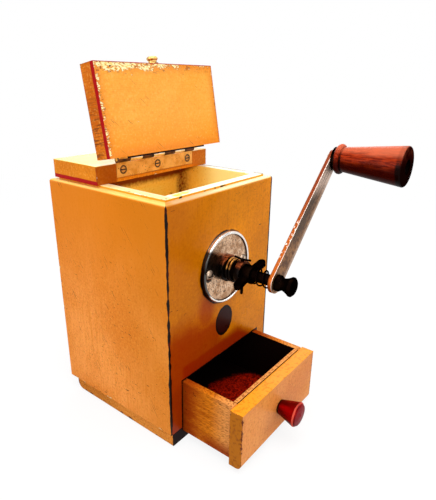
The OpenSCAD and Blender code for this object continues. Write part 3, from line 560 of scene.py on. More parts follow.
def hopper_rim(paint):
    # Wear and a painted highlight make the top edges almost white, less so on the left.
    top = fade(paint.upward, rim - 0.0004, rim - 0.0001)
    wear_and_painted_light = fade(paint.across, 0.0045 - outer_half, 0.0015 - inner_half) * 0.55 + 0.45
    paint.tint(top * (fade(paint.noise(70.0, 5.0), 0.3, 0.42) * wear_and_painted_light), "#FFFBE0")
    paint.tint(top * fade(paint.noise(300.0, 3.0), 0.66, 0.7), "#4A1C06")
    right_edge = top * fade(paint.across, outer_half - 0.0028, outer_half - 0.0016)
    paint.tint(right_edge * fade(paint.noise(110.0, 4.0), 0.34, 0.46) * 0.85, "#4A1C06")


hopper_paint = painted_wood("hopper_paint", "#FFE068", "#FFD04E", "#FFF4D0", hopper_box, (14.0, 14.0, 320.0),
                            (0.004, 0.16, 120.0), 0.26, shade="#E0A030", glint="#FFE080")
hopper_light_shade_and_cracks(hopper_paint)
hopper_rim(hopper_paint)
dress(seal(hopper_paint, 0.45, 0.02), "left_board", "right_board", "front_board", "back_board",
      "hopper_back", "hopper_floor")
print("hopper boards painted, rim at", round(rim, 4))

# %% [markdown]
# The lid and the block that it hinges on carry a red line along their lower edge, on both sides and
# on the end away from the hinge. It has a brush's small wobble. One group draws it on both.

# %% Group: red line
block_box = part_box("hinge_block")
block_half_width, block_back, block_top = block_box[1]
block_front, block_low = block_box[0][1:]
side_start, side_full = block_half_width - 0.0006, block_half_width - 0.0004


@shared_effect("Red line", ("Position", "Low", "End"), ("Line",))
def red_line(place, low, end):
    across, along, upward = split(place)
    outside = largest(fade(abs(across), side_start, side_full), fade(abs(along - end), 0.0006, 0.0004))
    return outside * fade(upward + noise(place, 120.0, 2.0) * 0.0006, low + 0.0032, low + 0.0029)


def add_red_line(paint, low, end):
    paint.tint(red_line(paint.place, low, end), "#AC0204")


# %% [markdown]
# On the lid's underside the paint has faded, and it has come off in cream flakes along the free
# edge and down the left side, where a thumb opens it. Flakes are a coarse and a fine noise cut
# together, so that they are large but ragged. The lid's narrow sides show the marks of a saw.

# %% Lid
lid_front, lid_back, lid_low = -0.055, 0.0047, 0.18385
lid_box = ((-block_half_width, lid_front, lid_low), (block_half_width, lid_back, block_top))
saw_marks = (90.0, 420.0, 40.0)


def sawn_sides(paint):
    lines = fade(paint.noise(1.0, 3.0, (60.0, 1300.0, 110.0)), 0.5, 0.62)
    rear = fade(paint.along, -0.04, -0.012) * 0.6 + 0.2
    paint.tint(fade(abs(paint.across), side_start, side_full) * lines * rear, "#6A2C02")


def faded_underside(paint, under):
    field = tint(fade(paint.noise(20.0, 3.0), 0.3, 0.7), "#FFAE42", "#FFA02C")
    field = tint(fade(paint.along, -0.025, 0.003), field, "#FA9618")
    brushed = paint.noise(1.0, 5.0, (90.0, 2400.0, 900.0))
    field = tint(fade(brushed, 0.48, 0.7) * 0.4, field, "#F08C1C")
    fine = paint.noise(640.0, 5.0)
    field = tint(fade(fine, 0.52, 0.74) * 0.45, field, "#D87A10")
    field = tint(fade(fine, 0.48, 0.28) * 0.35, field, "#FFC468")
    field = tint(fade(paint.edge, 0.009, 0.0) * 0.55, field, "#D87408")
    paint.tint(under, field)


def flaked_edges(paint, under):
    across = paint.across
    free = fade(paint.along, lid_front + 0.011, lid_front + 0.0005)
    free = free * (fade(across, 0.045, -0.03) * 0.55 + 0.45)
    left_side = fade(across, 0.0062 - block_half_width, 0.0002 - block_half_width) * 0.75
    right_side = fade(across, block_half_width - 0.0042, block_half_width) * 0.5
    edge = largest(free, left_side, right_side)
    ragged = paint.noise(760.0, 5.0, (0.7, 1.5, 1.0))
    over = paint.noise(130.0, 7.0, (0.6, 1.6, 1.0)) * 0.5 + ragged * 0.5 + edge * 0.26 - 0.69
    flakes = fade(over, 0.0, 0.02) * under
    paint.tint(fade(over, -0.03, -0.012) * under * 0.75, "#A85A14")
    paint.tint(flakes, tint(fade(ragged, 0.4, 0.6), "#FFD070", "#FFF0B4"))
    dents = fade(paint.noise(330.0, 2.0, (0.6, 1.0, 1.0)), 0.6, 0.66) * (under * fade(edge, 0.15, 0.6))
    paint.tint(dents * 0.8, "#9A4A0C")
    paint.tint(dirt_specks(paint.place, 700.0, edge * 0.3 + 0.14) * under, "#5A2006")
    paint.height = paint.height - largest(flakes, dents)


lid_paint = painted_wood("lid_paint", "#FF9416", "#CC6002", "#FFE9B0", lid_box, saw_marks,
                         (0.003, 0.14, 170.0), 0.26, on_lid=True)
underside = fade(lid_paint.upward, lid_low + 0.0004, lid_low + 0.0002)
sawn_sides(lid_paint)
faded_underside(lid_paint, underside)
flaked_edges(lid_paint, underside)
add_scratches(lid_paint, 0.9, 0.4)
add_red_line(lid_paint, lid_low, lid_front)
dress(seal(lid_paint), "lid_board")
print("lid painted, underside at", lid_low)

# %% [markdown]
# The hinge block's top is polished, which is a stronger clear coat on the top face alone, and it is
# painted a pale yellow there as a highlight. Its front is grimy on both sides of the hinge, more on
# the left.

# %% Hinge block
level_grain = (320.0, 14.0, 320.0)
leaf_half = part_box("block_leaf")[1][0]


def grimy_front(paint):
    face = fade(paint.along, block_front + 0.0008, block_front + 0.0003)
    ends = largest(fade(paint.across, 0.0015 - leaf_half, -0.0015 - leaf_half),
                   fade(paint.across, leaf_half - 0.0015, leaf_half + 0.0015) * 0.4)
    paint.tint(face * ends * (paint.noise(60.0, 4.0) * 0.5 + 0.45), "#8E2A02")


block_paint = painted_wood("block_paint", "#F6941A", "#DC7A08", "#FFE3A8", block_box, level_grain,
                           (0.003, 0.14, 170.0), 0.26)
grimy_front(block_paint)
add_red_line(block_paint, block_low, block_back)
# Painted highlight: a pale yellow on the block's top face.
top_face = fade(block_paint.upward, block_top - 0.00045, block_top - 0.00015)
block_paint.tint(top_face * 0.85, "#FFD850")
dress(seal(block_paint, 0.3, top_face * 0.3 + 0.06), "hinge_block")
print("hinge block painted, top at", round(block_top, 5))

# %% [markdown]
# The drawer is bare wood apart from its painted front. Its sides show an open, slanting grain and
# years of dirt, with painted light at their front end and painted shade towards the case. Inside it
# is painted almost black as shade, and red-brown coffee dust is left in an oval on the bottom. The
# inside is told from the outside by its place alone, so one material does for all the boards.

# %% Drawer boards
drawer_back_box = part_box("drawer_back")
inner_half_width, _, drawer_rim = drawer_back_box[1]
drawer_floor = drawer_back_box[0][2]
dust_across, dust_along, dust_half_width, dust_half_length = 0.005, -0.08, 0.042, 0.037


def bare_wood(name, tone, deep):
    wood = Finish(name)
    grain = wood_grain(wood.place, (300.0, 30.0, 420.0))
    slanting = join(wood.across, wood.along, wood.upward + wood.along * 0.22)
    pores = noise(slanting, 1.0, 4.0, (900.0, 300.0, 2300.0))
    wood.cover(tint(fade(grain, 0.35, 0.68) * 0.7, tone, deep))
    # Painted light pales the sides towards their front end.
    wood.tint(fade(wood.along, -0.082, -0.1) * 0.7, "#EEA65E")
    wood.tint(fade(pores, 0.49, 0.61) * 0.65, "#7A3006")
    # Dirt low down, and painted shade towards the case.
    dirt_and_shade = largest(fade(wood.upward, 0.022, 0.008), fade(wood.along, -0.086, -0.062))
    wood.tint(dirt_and_shade * fade(wood.noise(60.0, 4.0), 0.2, 0.5) * 0.85, "#8A2802")
    wood.tint(dirt_specks(wood.place, 500.0, 0.26), "#3A1404")
    feed(wood.surface["Roughness"], grain * 0.3 + 0.4)
    wood.surface["Specular IOR Level"].default_value = 0.03
    wood.relief(grain - pores, 0.0002)
    return wood


def shade_inside_and_coffee_dust(wood):
    upward = wood.upward
    between_sides = fade(abs(wood.across), inner_half_width + 0.0003, inner_half_width + 0.0001)
    below_rim = fade(upward, drawer_rim - 0.00005, drawer_rim - 0.0003)
    inside = between_sides * below_rim * fade(upward, drawer_floor - 0.0005, drawer_floor - 0.0001)
    wide = (wood.across - dust_across) / dust_half_width
    long = (wood.along - dust_along) / dust_half_length
    ragged = wide * wide + long * long + wood.noise(160.0, 5.0) * 0.6
    patchy = fade(upward, drawer_floor + 0.0018, drawer_floor + 0.0003) * fade(ragged, 1.4, 1.1)
    dust = tint(fade(wood.noise(700.0, 4.0), 0.4, 0.62), "#600400", "#B41C02")
    # The inside is painted almost black as shade, with the coffee dust's oval on the bottom.
    wood.tint(inside, tint(patchy, "#0C0302", dust))


drawer_wood = bare_wood("drawer_wood", "#DE8018", "#B05404")
shade_inside_and_coffee_dust(drawer_wood)
dress(drawer_wood, "drawer_left", "drawer_right", "drawer_back", "drawer_inner_front", "drawer_bottom")
print("drawer boards finished, floor at", round(drawer_floor, 4))

# %% [markdown]
# The drawer's front is a thicker painted board. Its top edge is a bright, blotched orange, its ends
# are worn to an ochre with dark chips, and its face has faded to tan.

# %% Drawer front
drawer_front_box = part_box("drawer_front")


def top_and_ends(paint, box):
    half_width, _, high = box[1]
    paint.tint(fade(paint.upward, high - 0.0032, high - 0.0012) * 0.85, "#F09A4A")
    blotch = fade(paint.noise(420.0, 5.0), 0.5, 0.66)
    top = fade(paint.upward, high - 0.0004, high - 0.0002)
    paint.tint(top, tint(blotch * 0.55, "#FA9A24", "#CC6A08"))
    ends = fade(abs(paint.across), half_width - 0.0004, half_width - 0.0002)
    paint.tint(ends * (1.0 - paint.chips), tint(blotch, "#B4680A", "#9A5206"))


drawer_front_paint = painted_wood("drawer_front_paint", "#FCA152", "#EA863A", "#6A2A0A", drawer_front_box,
                                  (320.0, 320.0, 14.0), (0.002, 0.27, 420.0), 0.24)
top_and_ends(drawer_front_paint, drawer_front_box)
dress(seal(drawer_front_paint, 0.32, 0.05), "drawer_front")
print("drawer front painted")

# %% [markdown]
# The drawer's knob and the crank's grip are both turned on a lathe and varnished. Rings of painted
# shade and highlight sit at grooves, necks and ends, painted shade darkens the underside, and the end
# is stained and worn. These marks follow the turned form, so three groups place them by height and
# along the axis.

# %% Groups: marks on turned wood
@shared_effect("Shade by height", ("Position", "Begin", "Full"), ("Shade",))
def shade_by_height(place, begin, full):
    return fade(split(place)[2] + uneven(place, 160.0, 4.0, 0.008, (1.0, 0.3, 1.0)), begin, full)


@shared_effect("Turned ring", ("Position", "Middle", "Width", "Height"), ("Ring",))
def turned_ring(place, ring_middle, width, height):
    _, along, upward = split(place)
    ragged = abs(along - ring_middle + uneven(place, 90.0, 3.0, 0.0012))
    return fade(ragged, width, width * 0.5) * (fade(upward, height + 0.009, height) * 0.75 + 0.25)


@shared_effect("Turned end", ("Position", "Front", "Bare"), ("End",))
def turned_end(place, front, bare):
    worn = fade(noise(place, 260.0, 4.0), 0.35, 0.7)
    return fade(split(place)[1], front + 0.0012, front + 0.0004) * (1.0 - worn * bare)


def turned_gloss(name, tone, deep, gloss, stretch):
    varnish = Finish(name)
    streak = wood_grain(varnish.place, stretch)
    varnish.cover(tint(fade(streak, 0.36, 0.66), tone, deep))
    varnish.tint(fade(varnish.noise(900.0, 2.0), 0.73, 0.77), "#C85030")
    feed(varnish.surface["Roughness"], streak * 0.2 + (gloss - 0.1))
    feed(varnish.surface["Coat Weight"], varnish.noise(80.0, 3.0) * 0.12)
    varnish.surface["Coat Roughness"].default_value = 0.08
    varnish.surface["Specular IOR Level"].default_value = 0.02
    varnish.relief(streak, 0.0001)
    return varnish


# %% [markdown]
# The knob is a deep red gloss, darker below as painted shade, with a black ring of painted shade at
# its neck and a paler ring, a painted highlight, behind its rounded end.

# %% Drawer knob
knob_height = middle("drawer_knob")[2]
knob_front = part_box("drawer_knob")[0][1]
knob_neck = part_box("drawer_knob")[1][1] - 0.0003

knob_red = turned_gloss("knob_red", "#8A0002", "#4E0000", 0.24, (200.0, 20.0, 200.0))
below = shade_by_height(knob_red.place, knob_height - 0.0005, knob_height - 0.0065)
# Painted shade below.
knob_red.tint(below * 0.85, "#240000")
# Painted shade at the neck.
knob_red.tint(turned_ring(knob_red.place, knob_neck, 0.0016, knob_height + 0.002), "#140000")
knob_red.tint(turned_end(knob_red.place, knob_front, 0.4), "#8E0010")
# Painted highlight behind the end.
knob_red.tint(turned_ring(knob_red.place, knob_front + 0.0021, 0.0007, knob_height + 0.004), "#D8503C")
dress(knob_red, "drawer_knob")
print("knob finished at height", round(knob_height, 4))

# %% [markdown]
# The grip is turned hardwood under a red-brown varnish, with a painted highlight on top and painted
# shade that makes it almost black below. Dark rings of painted shade sit in the groove behind its bead
# and near its end. The end is dull and dark, and its recess for the spindle's head is painted black
# as shade.

# %% Grip
grip_across, _, grip_height = middle("grip")
grip_front, grip_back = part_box("grip")[0][1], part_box("grip")[1][1]
recess_radius = 0.0052


def dull_end(varnish):
    from_spindle = distance(varnish.across - grip_across, varnish.upward - grip_height)
    # Painted shade: the recess is painted black.
    hollow = fade(from_spindle, recess_radius + 0.0002, recess_radius)
    varnish.tint(hollow * fade(varnish.along, grip_front + 0.0109, grip_front + 0.0084), "#050101")
    glossy = 1.0 - fade(varnish.along, grip_front + 0.0008, grip_front + 0.0003)
    feed(varnish.surface["Coat Weight"], glossy * varnish.noise(80.0, 3.0) * 0.07)
    feed(varnish.surface["Specular IOR Level"], glossy * 0.02)


grip_varnish = turned_gloss("grip_varnish", "#A0300E", "#641204", 0.3, (900.0, 90.0, 900.0))
lit = shade_by_height(grip_varnish.place, grip_height + 0.0045, grip_height + 0.0105)
# Painted highlight on top.
grip_varnish.tint(lit * 0.62, "#E07450")
wear_and_painted_light = shade_by_height(grip_varnish.place, grip_height + 0.0045, grip_height - 0.0035)
# Painted shade below.
grip_varnish.tint(wear_and_painted_light * 0.94, "#2C0100")
grip_varnish.tint(turned_end(grip_varnish.place, grip_front, 0.12), "#280301")
# Rings of painted shade.
for ring_place, ring_width in ((grip_front + 0.0016, 0.0034), (grip_back - 0.0049, 0.0009),
                               (grip_back - 0.0003, 0.0012)):
    grip_varnish.tint(turned_ring(grip_varnish.place, ring_place, ring_width, grip_height), "#120302")
dull_end(grip_varnish)
dress(grip_varnish, "grip")
print("grip varnished,", round(grip_back - grip_front, 4), "long")

# %% [markdown]
# The metals differ by age and use. Bright steel has tarnish patches and pits; dark steel is the same
# surface under oil and oxide; cast iron is grey and matt; brass has gone warm and blotchy. One
# function makes them all from two tones, a colour for the pits and a scale for the patches.

# %% Metals
def worn_metal(name, bright, dull, pit, scale, rough, metallic):
    metal = Finish(name)
    metal.patches, metal.pits, metal.scuffs = tarnish(metal.place, scale)
    metal.cover(tint(metal.patches, bright, dull))
    metal.tint(metal.pits, pit)
    metal.surface["Metallic"].default_value = metallic
    feed(metal.surface["Roughness"], metal.scuffs * 0.3 + (rough - 0.1))
    metal.relief(metal.scuffs - metal.pits, 0.0001)
    return metal


dark_steel = worn_metal("dark_steel", "#120804", "#050202", "#010101", 160.0, 0.42, 1.0)
dark_steel.surface["Specular Tint"].default_value = (0.12, 0.1, 0.09, 1.0)
dress(dark_steel, "split_pin", "wing_nut", "shaft", "crank_nut", "neck_washer", "drawer_knob_screw",
      "bearing_sleeve")
cast_iron = worn_metal("cast_iron", "#4C4844", "#2C2826", "#140E0A", 120.0, 0.5, 0.8)
dress(cast_iron, "mill_housing", "burr_ring", "rear_bridge", "burr_cone", "burr_nut")
bright_steel = worn_metal("bright_steel", "#C8BEB2", "#8A7460", "#2A1A10", 90.0, 0.25, 1.0)
dress(bright_steel, "face_plate_screws", "bridge_screws", "grip_spindle")
old_brass = worn_metal("old_brass", "#E8BC68", "#B07A34", "#3A1E08", 110.0, 0.28, 1.0)
dress(old_brass, "hinge_pin", "lid_leaf_screws")
knob_brass = worn_metal("knob_brass", "#F0C470", "#6A3208", "#2A0E04", 330.0, 0.24, 0.9)
dress(knob_brass, "lid_knob")
print("plain metals dressed")

# %% [markdown]
# The hinge's leaves have dulled to a straw colour, and the lid leaf's knuckles are painted bright as
# a highlight. Painted shade darkens the block leaf's knuckles, a line of painted shadow runs along
# the top of them all, and painted shade rings each screw and blackens the slot of a screw's head. A
# group gives the distance to the nearest screw.

# %% Hinge leaves and screws
screw_row = middle("block_leaf_screws")[2]
screw_places = (-0.034, 0.0, 0.034)
screw_radius = 0.0026
slot_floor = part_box("block_leaf_screws")[0][1] + 0.0002
knuckle_start, knuckle_shade_line = 0.1966, 0.1999
leaf_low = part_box("block_leaf")[0][2]


@shared_effect("Hinge screws", ("Position",), ("Distance",))
def hinge_screws(place):
    across, _, upward = split(place)
    return smallest(*(distance(across - screw, upward - screw_row) for screw in screw_places))


def shade_knuckle_tops(metal):
    # Painted shadow along the top of the knuckles.
    metal.tint(fade(metal.upward, knuckle_shade_line - 0.0002, knuckle_shade_line + 0.0002), "#140803")


leaf_brass = worn_metal("leaf_brass", "#F4B450", "#DE9428", "#7A4410", 150.0, 0.5, 0.4)
# Painted shade round each screw.
leaf_brass.tint(fade(hinge_screws(leaf_brass.place), 0.0035, 0.0028), "#1A0A03")
# Painted shade on the block leaf's knuckles.
leaf_brass.tint(fade(leaf_brass.upward, knuckle_start, knuckle_start + 0.0003),
                tint(leaf_brass.patches, "#6A3A12", "#2A1205"))
shade_knuckle_tops(leaf_brass)
dress(leaf_brass, "block_leaf")

# The bright base is a painted highlight, kept on the knuckles.
knuckle_highlight_brass = worn_metal("knuckle_highlight_brass", "#FFF0D8", "#E8C898", "#6A4018", 140.0, 0.3, 1.0)
shade_knuckle_tops(knuckle_highlight_brass)
shut_height = split(shut_place(knuckle_highlight_brass.place))[2]
knuckle_highlight_brass.tint(fade(shut_height, knuckle_start, knuckle_start - 0.0004),
                  tint(knuckle_highlight_brass.patches, "#F4B450", "#C88A34"))
knuckle_highlight_brass.tint(fade(shut_height, leaf_low + 0.0009, leaf_low + 0.0005), "#140803")
dress(knuckle_highlight_brass, "lid_leaf")

screw_brass = worn_metal("screw_brass", "#E0A048", "#A86A20", "#2A1204", 220.0, 0.4, 0.6)
# Painted shade in the slot and round the head.
black_slot = fade(screw_brass.along, slot_floor, slot_floor + 0.0002)
black_rim = fade(hinge_screws(screw_brass.place), screw_radius - 0.0008, screw_radius - 0.0003)
screw_brass.tint(largest(black_slot, black_rim * 0.85), "#0A0402")
dress(screw_brass, "block_leaf_screws")
print("hinge finished, screws at height", round(screw_row, 4))

# %% [markdown]
# The round plate was plated once. Its raised rim is still bright, with a dark painted reflection at
# the left and a line of painted shade at its foot, and its face has gone to a tan with specks of
# rust. A painted shadow of the shaft's hardware lies in a dark band to the left of the sleeve and
# round the screw, and painted shade darkens the lower part of the outer edge. Places on the plate
# are measured from the shaft.

# %% Face plate
plate_radius, rim_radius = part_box("face_plate")[1][0], 0.0247
plate_screw = -0.02


def rusty_face(metal):
    rust = fade(metal.noise(640.0, 5.0), 0.54, 0.62) * fade(metal.noise(75.0, 2.0), 0.34, 0.54)
    metal.tint(rust * 0.85, "#2A1608")


def bright_rim(metal, level, from_shaft):
    raised = fade(from_shaft, rim_radius, rim_radius + 0.0004)
    metal.tint(raised, tint(metal.pits, "#F2EEE8", "#8A8078"))
    # Painted reflection: the rim darkens at the left.
    dull = fade(abs(level + 0.005), 0.014, 0.009) * fade(metal.across, -0.018, -0.022)
    metal.tint(dull * raised * 0.9, "#1A1410")
    # Painted shade along the rim's foot.
    metal.tint(fade(abs(from_shaft - rim_radius), 0.0005, 0.0002) * 0.8, "#1A0E08")
    feed(metal.surface["Roughness"], 0.26 - raised * 0.16)


def painted_shadow_on_plate(metal, level):
    # Painted shadow of the hardware.
    ragged = metal.uneven(190.0, 4.0, 0.007)
    slant = abs(level + metal.across * 0.5 + 0.001)
    shadow_band = fade(slant + ragged, 0.0105, 0.0078) * fade(metal.across, -0.003, -0.007)
    from_screw = distance(metal.across - plate_screw, level)
    metal.tint(largest(shadow_band, fade(from_screw + ragged * 0.3, 0.0056, 0.0047)) * 0.93, "#080302")


def shaded_edge(metal, level, from_shaft):
    # Painted shade on the lower outer edge.
    edge = fade(from_shaft, plate_radius - 0.0004, plate_radius - 0.0001)
    metal.tint(edge * fade(level, 0.014, 0.004), "#1C0E06")


plate_metal = worn_metal("plate_metal", "#DCB694", "#A87A54", "#1A0E08", 200.0, 0.3, 0.9)
plate_level = plate_metal.upward - shaft_height
plate_distance = distance(plate_metal.across, plate_level)
rusty_face(plate_metal)
bright_rim(plate_metal, plate_level, plate_distance)
painted_shadow_on_plate(plate_metal, plate_level)
shaded_edge(plate_metal, plate_level, plate_distance)
dress(plate_metal, "face_plate")
print("plate finished, radius", round(plate_radius, 4))

# %% [markdown]
# The crank's arm is a flat bar. Its face is a specked brown, with painted shade along the left of its
# middle and painted light towards the grip and along its right side. Its narrow edges carry an orange
# painted reflection of the case, with rusty pits and a bright line of painted highlight at the
# front. Heights on it are measured from the shaft.

# %% Crank arm
arm_back, arm_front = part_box("crank_arm")[1][1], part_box("crank_arm")[0][1]


def specked_face_with_painted_light(metal, rise):
    upper = fade(rise, 0.048, 0.062)
    lower = fade(rise, 0.016, 0.032) * (1.0 - upper)
    to_left = rise * 0.7 - metal.across * 0.71
    # Painted shade along the left of the middle.
    metal.tint(lower * (fade(to_left, -0.007, 0.003) * 0.9), "#4A3422")
    # Painted light towards the grip and along the right side.
    metal.tint(upper * 0.7, "#E0C8B8")
    metal.tint(fade(to_left, -0.003, -0.0065) * 0.5, "#D8BCA8")
    metal.tint(fade(metal.noise(1100.0, 2.0), 0.56, 0.64) * 0.6, "#24140A")


def edges_with_painted_reflection(metal, rise):
    # Orange edges: a painted reflection of the case.
    edge = tint(fade(rise, 0.016, 0.061), "#B45A14", "#80330F")
    edge = tint(metal.pits, edge, "#7A2A0A")
    stretch_of_arm = fade(rise, 0.012, 0.018) * fade(rise, 0.042, 0.032)
    edge = tint(fade(metal.noise(520.0, 4.0), 0.56, 0.62) * stretch_of_arm, edge, "#F0E0D0")
    within = smallest(arm_back - metal.along, metal.along - arm_front)
    metal.tint(fade(within + metal.scuffs * 0.0003, 0.0003, 0.0006), edge)
    # Painted highlight along the front arris.
    from_arris = abs(metal.along - arm_front - 0.0003)
    metal.tint(fade(from_arris, 0.0002, 0.00008) * 0.8, "#F4ECE2")


arm_metal = worn_metal("arm_metal", "#96683E", "#5E3A20", "#1E0C04", 420.0, 0.42, 0.8)
arm_rise = arm_metal.upward - shaft_height
specked_face_with_painted_light(arm_metal, arm_rise)
edges_with_painted_reflection(arm_metal, arm_rise)
dress(arm_metal, "crank_arm")
print("arm finished,", round(arm_back - arm_front, 4), "thick")

# %% [markdown]
# The runners and the base board are rough painted strips, dirtier than the case and painted black at
# the front as shade. The roof over the drawer, which hardly shows, is plain wood like the drawer's.

# %% Base and inner boards
runner_box = around("left_runner", "right_runner")
runner_front = runner_box[0][1]
runner_paint = painted_wood("runner_paint", "#EE9640", "#C87420", "#5A2008", runner_box, level_grain,
                            (0.004, 0.2, 200.0), 0.4)
# Painted shade at the runners' front ends.
runner_paint.tint(fade(runner_paint.along, runner_front + 0.0013, runner_front + 0.0002), "#140302")
dress(seal(runner_paint, 0.5, 0.0), "left_runner", "right_runner", "base_board")
dress(bare_wood("roof_wood", "#B07A40", "#7A4A20"), "drawer_roof")
print("base and inner boards finished")

# %% [markdown]
# The bearing sleeve is threaded, and a ring nut holds it to the plate. A screw thread is a ridge
# that climbs round a cylinder. It is built here as a strip of quads: a profile with a narrow flat
# crest is carried round the axis, and its height fades to nothing at both ends, as a die cuts it.

# %% Sleeve thread
thread_root, thread_crest, thread_pitch = 0.008, 0.0091, 0.0025
thread_start = case_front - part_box("ring_nut")[0][1] + 0.0001
thread_end = case_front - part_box("bearing_sleeve")[0][1] - 0.0001
thread_profile = ((-0.46, False), (-0.1, True), (0.1, True), (0.46, False))
steps_per_turn, run_out_steps, sunk = 40, 10, 0.00015


def on_shaft(radius, angle, outward):
    return (radius * math.cos(angle), case_front - outward, shaft_height + radius * math.sin(angle))


def new_piece(name, points, faces, body, finish):
    mesh = bpy.data.meshes.new(name)
    mesh.from_pydata(points, [], faces)
    mesh.validate()
    mesh.shade_smooth()
    piece = bpy.data.objects.new(name, mesh)
    scene.collection.objects.link(piece)
    mesh.materials.append(finish.material)
    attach(piece, body)
    return piece


def strip(rows, sides):
    faces = [tuple(reversed(range(sides)))]
    for row in range(rows - 1):
        for side in range(sides):
            low, high = row * sides + side, row * sides + (side + 1) % sides
            faces.append((low, high, high + sides, low + sides))
    faces.append(tuple((rows - 1) * sides + side for side in range(sides)))
    return faces


def thread_points():
    count = int((thread_end - thread_start - thread_pitch) / thread_pitch * steps_per_turn)
    points = []
    for index in range(count + 1):
        turn = index / steps_per_turn
        run_out = min(1.0, index / run_out_steps, (count - index) / run_out_steps)
        ridge = (thread_crest - thread_root) * run_out
        for offset, on_crest in thread_profile:
            radius = thread_root + ridge if on_crest else thread_root - sunk
            outward = thread_start + thread_pitch * (0.5 + turn + offset)
            points.append(on_shaft(radius, 2 * math.pi * turn, outward))
    return points


print("thread from", round(thread_start, 4), "to", round(thread_end, 4))

# %% [markdown]
# The thread's warm, golden metal above is a painted highlight, and below it is painted black as
# shade. The ring nut and the collar are rusty above and painted black below in the same way. The
# shade's upper border is ragged, and a group draws it for both materials.

# %% Metals shaded below
@shared_effect("Shade underneath", ("Position", "Height"), ("Underside shade",))
def shade_underneath(place, height):
    ragged = split(place)[2] + uneven(place, 300.0, 3.0, 0.004)
    return fade(ragged, height + 0.001, height - 0.001)


thread_metal = worn_metal("thread_metal", "#C88A40", "#6A3C14", "#180A04", 260.0, 0.32, 0.9)
# Painted shade below a ragged line above the shaft.
thread_metal.tint(shade_underneath(thread_metal.place, shaft_height + 0.0028), "#0C0503")
ridge_points = thread_points()
ridge_faces = strip(len(ridge_points) // len(thread_profile), len(thread_profile))
new_piece("sleeve_thread", ridge_points, ridge_faces, "case", thread_metal)

rusty_steel = worn_metal("rusty_steel", "#8E4A22", "#4A1606", "#180A04", 260.0, 0.36, 0.9)
rusty_steel.tint(shade_underneath(rusty_steel.place, shaft_height + 0.0052), "#0C0503")
dress(rusty_steel, "ring_nut", "thrust_collar")
print("sleeve thread:", len(ridge_points), "points")

# %% [markdown]
# The spring is a thin wire wound round the shaft, with its ends bent along it. The solid for it is
# a coarse six-sided tube, so a rounder tube on the same line takes its place. A curve with a bevel
# would do too, but a mesh keeps its ends flat and its sides evenly turned.

# %% Spring
coil_radius, coil_turns, coil_angle = 0.00565, 2.5, math.radians(-100)
wire_radius, wire_sides, rings_per_turn = 0.0006, 14, 48
spring_start = case_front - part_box("spring")[1][1]
spring_end = case_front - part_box("spring")[0][1]


def spring_line():
    count = round(rings_per_turn * coil_turns)
    wire = 2 * wire_radius
    line = [Vector(on_shaft(coil_radius, coil_angle, spring_start))]
    for index in range(count + 1):
        angle = coil_angle + 2 * math.pi * coil_turns * index / count
        outward = spring_start + wire + (spring_end - spring_start - 2 * wire) * index / count
        line.append(Vector(on_shaft(coil_radius, angle, outward)))
    line.append(Vector(on_shaft(coil_radius, coil_angle + 2 * math.pi * coil_turns, spring_end)))
    return line


def tube_points(line, radius, sides):
    points = []
    normal = None
    for index, here in enumerate(line):
        ahead = (line[min(index + 1, len(line) - 1)] - line[max(index - 1, 0)]).normalized()
        if normal is None:
            normal = ahead.orthogonal().normalized()
        normal = (normal - ahead * normal.dot(ahead)).normalized()
        side = ahead.cross(normal)
        for turn in range(sides):
            angle = 2 * math.pi * turn / sides
            points.append(here + radius * (math.cos(angle) * normal + math.sin(angle) * side))
    return points


wire_line = spring_line()
wire_points = tube_points(wire_line, wire_radius, wire_sides)
spring = new_piece("spring_wire", wire_points, strip(len(wire_line), wire_sides), "crank", dark_steel)
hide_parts("spring")
print("spring:", len(wire_line), "rings")

# %% [markdown]
# No real board has a knife edge. A bevel modifier rounds the boards by about half a millimetre and
# the metal and turned pieces by less. The imported solids have a seam at every edge, so a weld
# modifier closes it first.

# %% Softened edges
def soften(width, *nodes):
    for name in nodes:
        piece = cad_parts[name]
        weld = piece.modifiers.new("close seams", "WELD")
        weld.merge_threshold = 0.000002
        bevel = piece.modifiers.new("soft edges", "BEVEL")
        bevel.width = width
        bevel.segments = 2
        bevel.limit_method = "ANGLE"
        bevel.angle_limit = math.radians(35)
        bevel.harden_normals = True


soften(0.0005, "left_panel", "right_panel", "front_panel", "back_panel", "left_board", "right_board",
       "front_board", "back_board", "hinge_block", "lid_board", "drawer_front", "drawer_left",
       "drawer_right", "drawer_back", "drawer_inner_front", "left_runner", "right_runner")
soften(0.0003, "crank_arm", "wing_nut", "crank_nut", "drawer_knob", "lid_knob", "ring_nut", "thrust_collar")
print("edges softened")

# %% [markdown]
# The mill stands in a white studio. A soft box hangs above it, large windows stand to its left and
# behind it, and two smaller ones in front, left and right, lift the shadows. The camera and shiny
# surfaces see pure white around, while the light from there stays at a plain level.

# %% Studio lights
def area_light(name, place, target, width, height, power):
    lamp = bpy.data.lights.new(name, "AREA")
    lamp.shape = "RECTANGLE"
    lamp.size = width
    lamp.size_y = height
    lamp.energy = power
    holder = bpy.data.objects.new(name, lamp)
    scene.collection.objects.link(holder)
    holder.location = place
    holder.rotation_euler = (Vector(target) - Vector(place)).to_track_quat("-Z", "Y").to_euler()


area_light("Soft box above", (-0.15, -0.3, 1.25), (0, 0, 0.1), 1.0, 1.0, 13.0)
area_light("Left window", (-1.35, 0.3, 0.6), (0, 0, 0.12), 1.0, 0.9, 8.5)
area_light("Back window", (1.25, 1.0, 0.9), (0, 0.02, 0.18), 1.3, 0.8, 11.0)
area_light("Right window", (1.0, -1.15, 0.55), (0.0, -0.06, 0.11), 0.5, 0.5, 4.2)
area_light("Front window", (-0.75, -1.1, 0.75), (0.0, 0.0, 0.16), 0.7, 0.5, 5.0)


def seen_directly(tree):
    rays = put(tree, "ShaderNodeLightPath")
    seen = out(rays, "Is Camera Ray") + out(rays, "Is Glossy Ray") + out(rays, "Is Transmission Ray")
    return smallest(seen, 1.0)


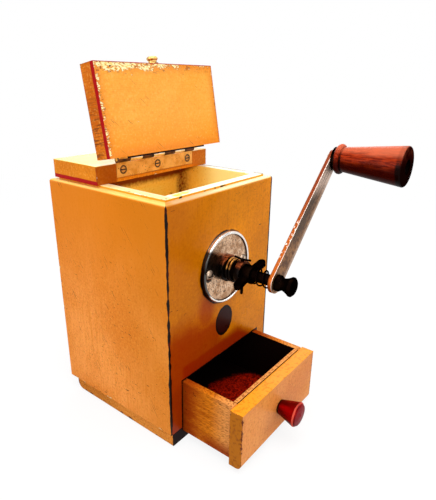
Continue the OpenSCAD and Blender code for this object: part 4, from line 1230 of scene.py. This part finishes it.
def mix_shaders(share, first, second):
    return out(put(share.tree, "ShaderNodeMixShader", {0: share, 1: first, 2: second}))


white = (1.0, 1.0, 1.0, 1.0)
world = bpy.data.worlds.new("Studio")
scene.world = world
world.use_nodes = True
sky = world.node_tree
sky.nodes.clear()
plain_glow = out(put(sky, "ShaderNodeBackground", {"Color": white, "Strength": 0.38}))
pure_white = out(put(sky, "ShaderNodeBackground", {"Color": white, "Strength": 1.0}))
put(sky, "ShaderNodeOutputWorld", {"Surface": mix_shaders(seen_directly(sky), plain_glow, pure_white)})
print("lights:", len(bpy.data.lights))

# %% [markdown]
# The floor is a sheet of pale paper. Most of what the camera sees of it is its own even white, and
# a small share is lit paper, so that the mill's shadow shows softly and fades out with distance.
# For the light that bounces on to the mill it is a dull grey, or the wood would glow from below.

# %% Floor
floor_half, floor_height = 8, -0.0003
floor_corners = [(across * floor_half, along * floor_half, floor_height)
                 for across, along in ((-1, -1), (1, -1), (1, 1), (-1, 1))]
floor_mesh = bpy.data.meshes.new("floor")
floor_mesh.from_pydata(floor_corners, [], [(0, 1, 2, 3)])
floor = bpy.data.objects.new("floor", floor_mesh)
scene.collection.objects.link(floor)

floor_white = Finish("floor_white")
floor_white.cover((0.3, 0.3, 0.3, 1.0))
floor_white.surface["Roughness"].default_value = 0.9
floor_white.surface["Specular IOR Level"].default_value = 0.0
floor_tree = floor_white.tree
outward = out(put(floor_tree, "ShaderNodeVectorMath", {0: floor_white.place}, operation="LENGTH"), "Value")
own_white = out(put(floor_tree, "ShaderNodeEmission", {"Color": white, "Strength": 1.0}))
lit_paper = out(put(floor_tree, "ShaderNodeBsdfDiffuse", {"Color": (0.9, 0.9, 0.9, 1.0)}))
pale = mix_shaders(fade(outward, 0.25, 1.0) * 0.15 + 0.85, lit_paper, own_white)
seen_floor = mix_shaders(seen_directly(floor_tree), out(floor_white.shader), pale)
feed(floor_tree.nodes["Material Output"].inputs["Surface"], seen_floor)
floor_mesh.materials.append(floor_white.material)
print("floor laid at", floor_height)
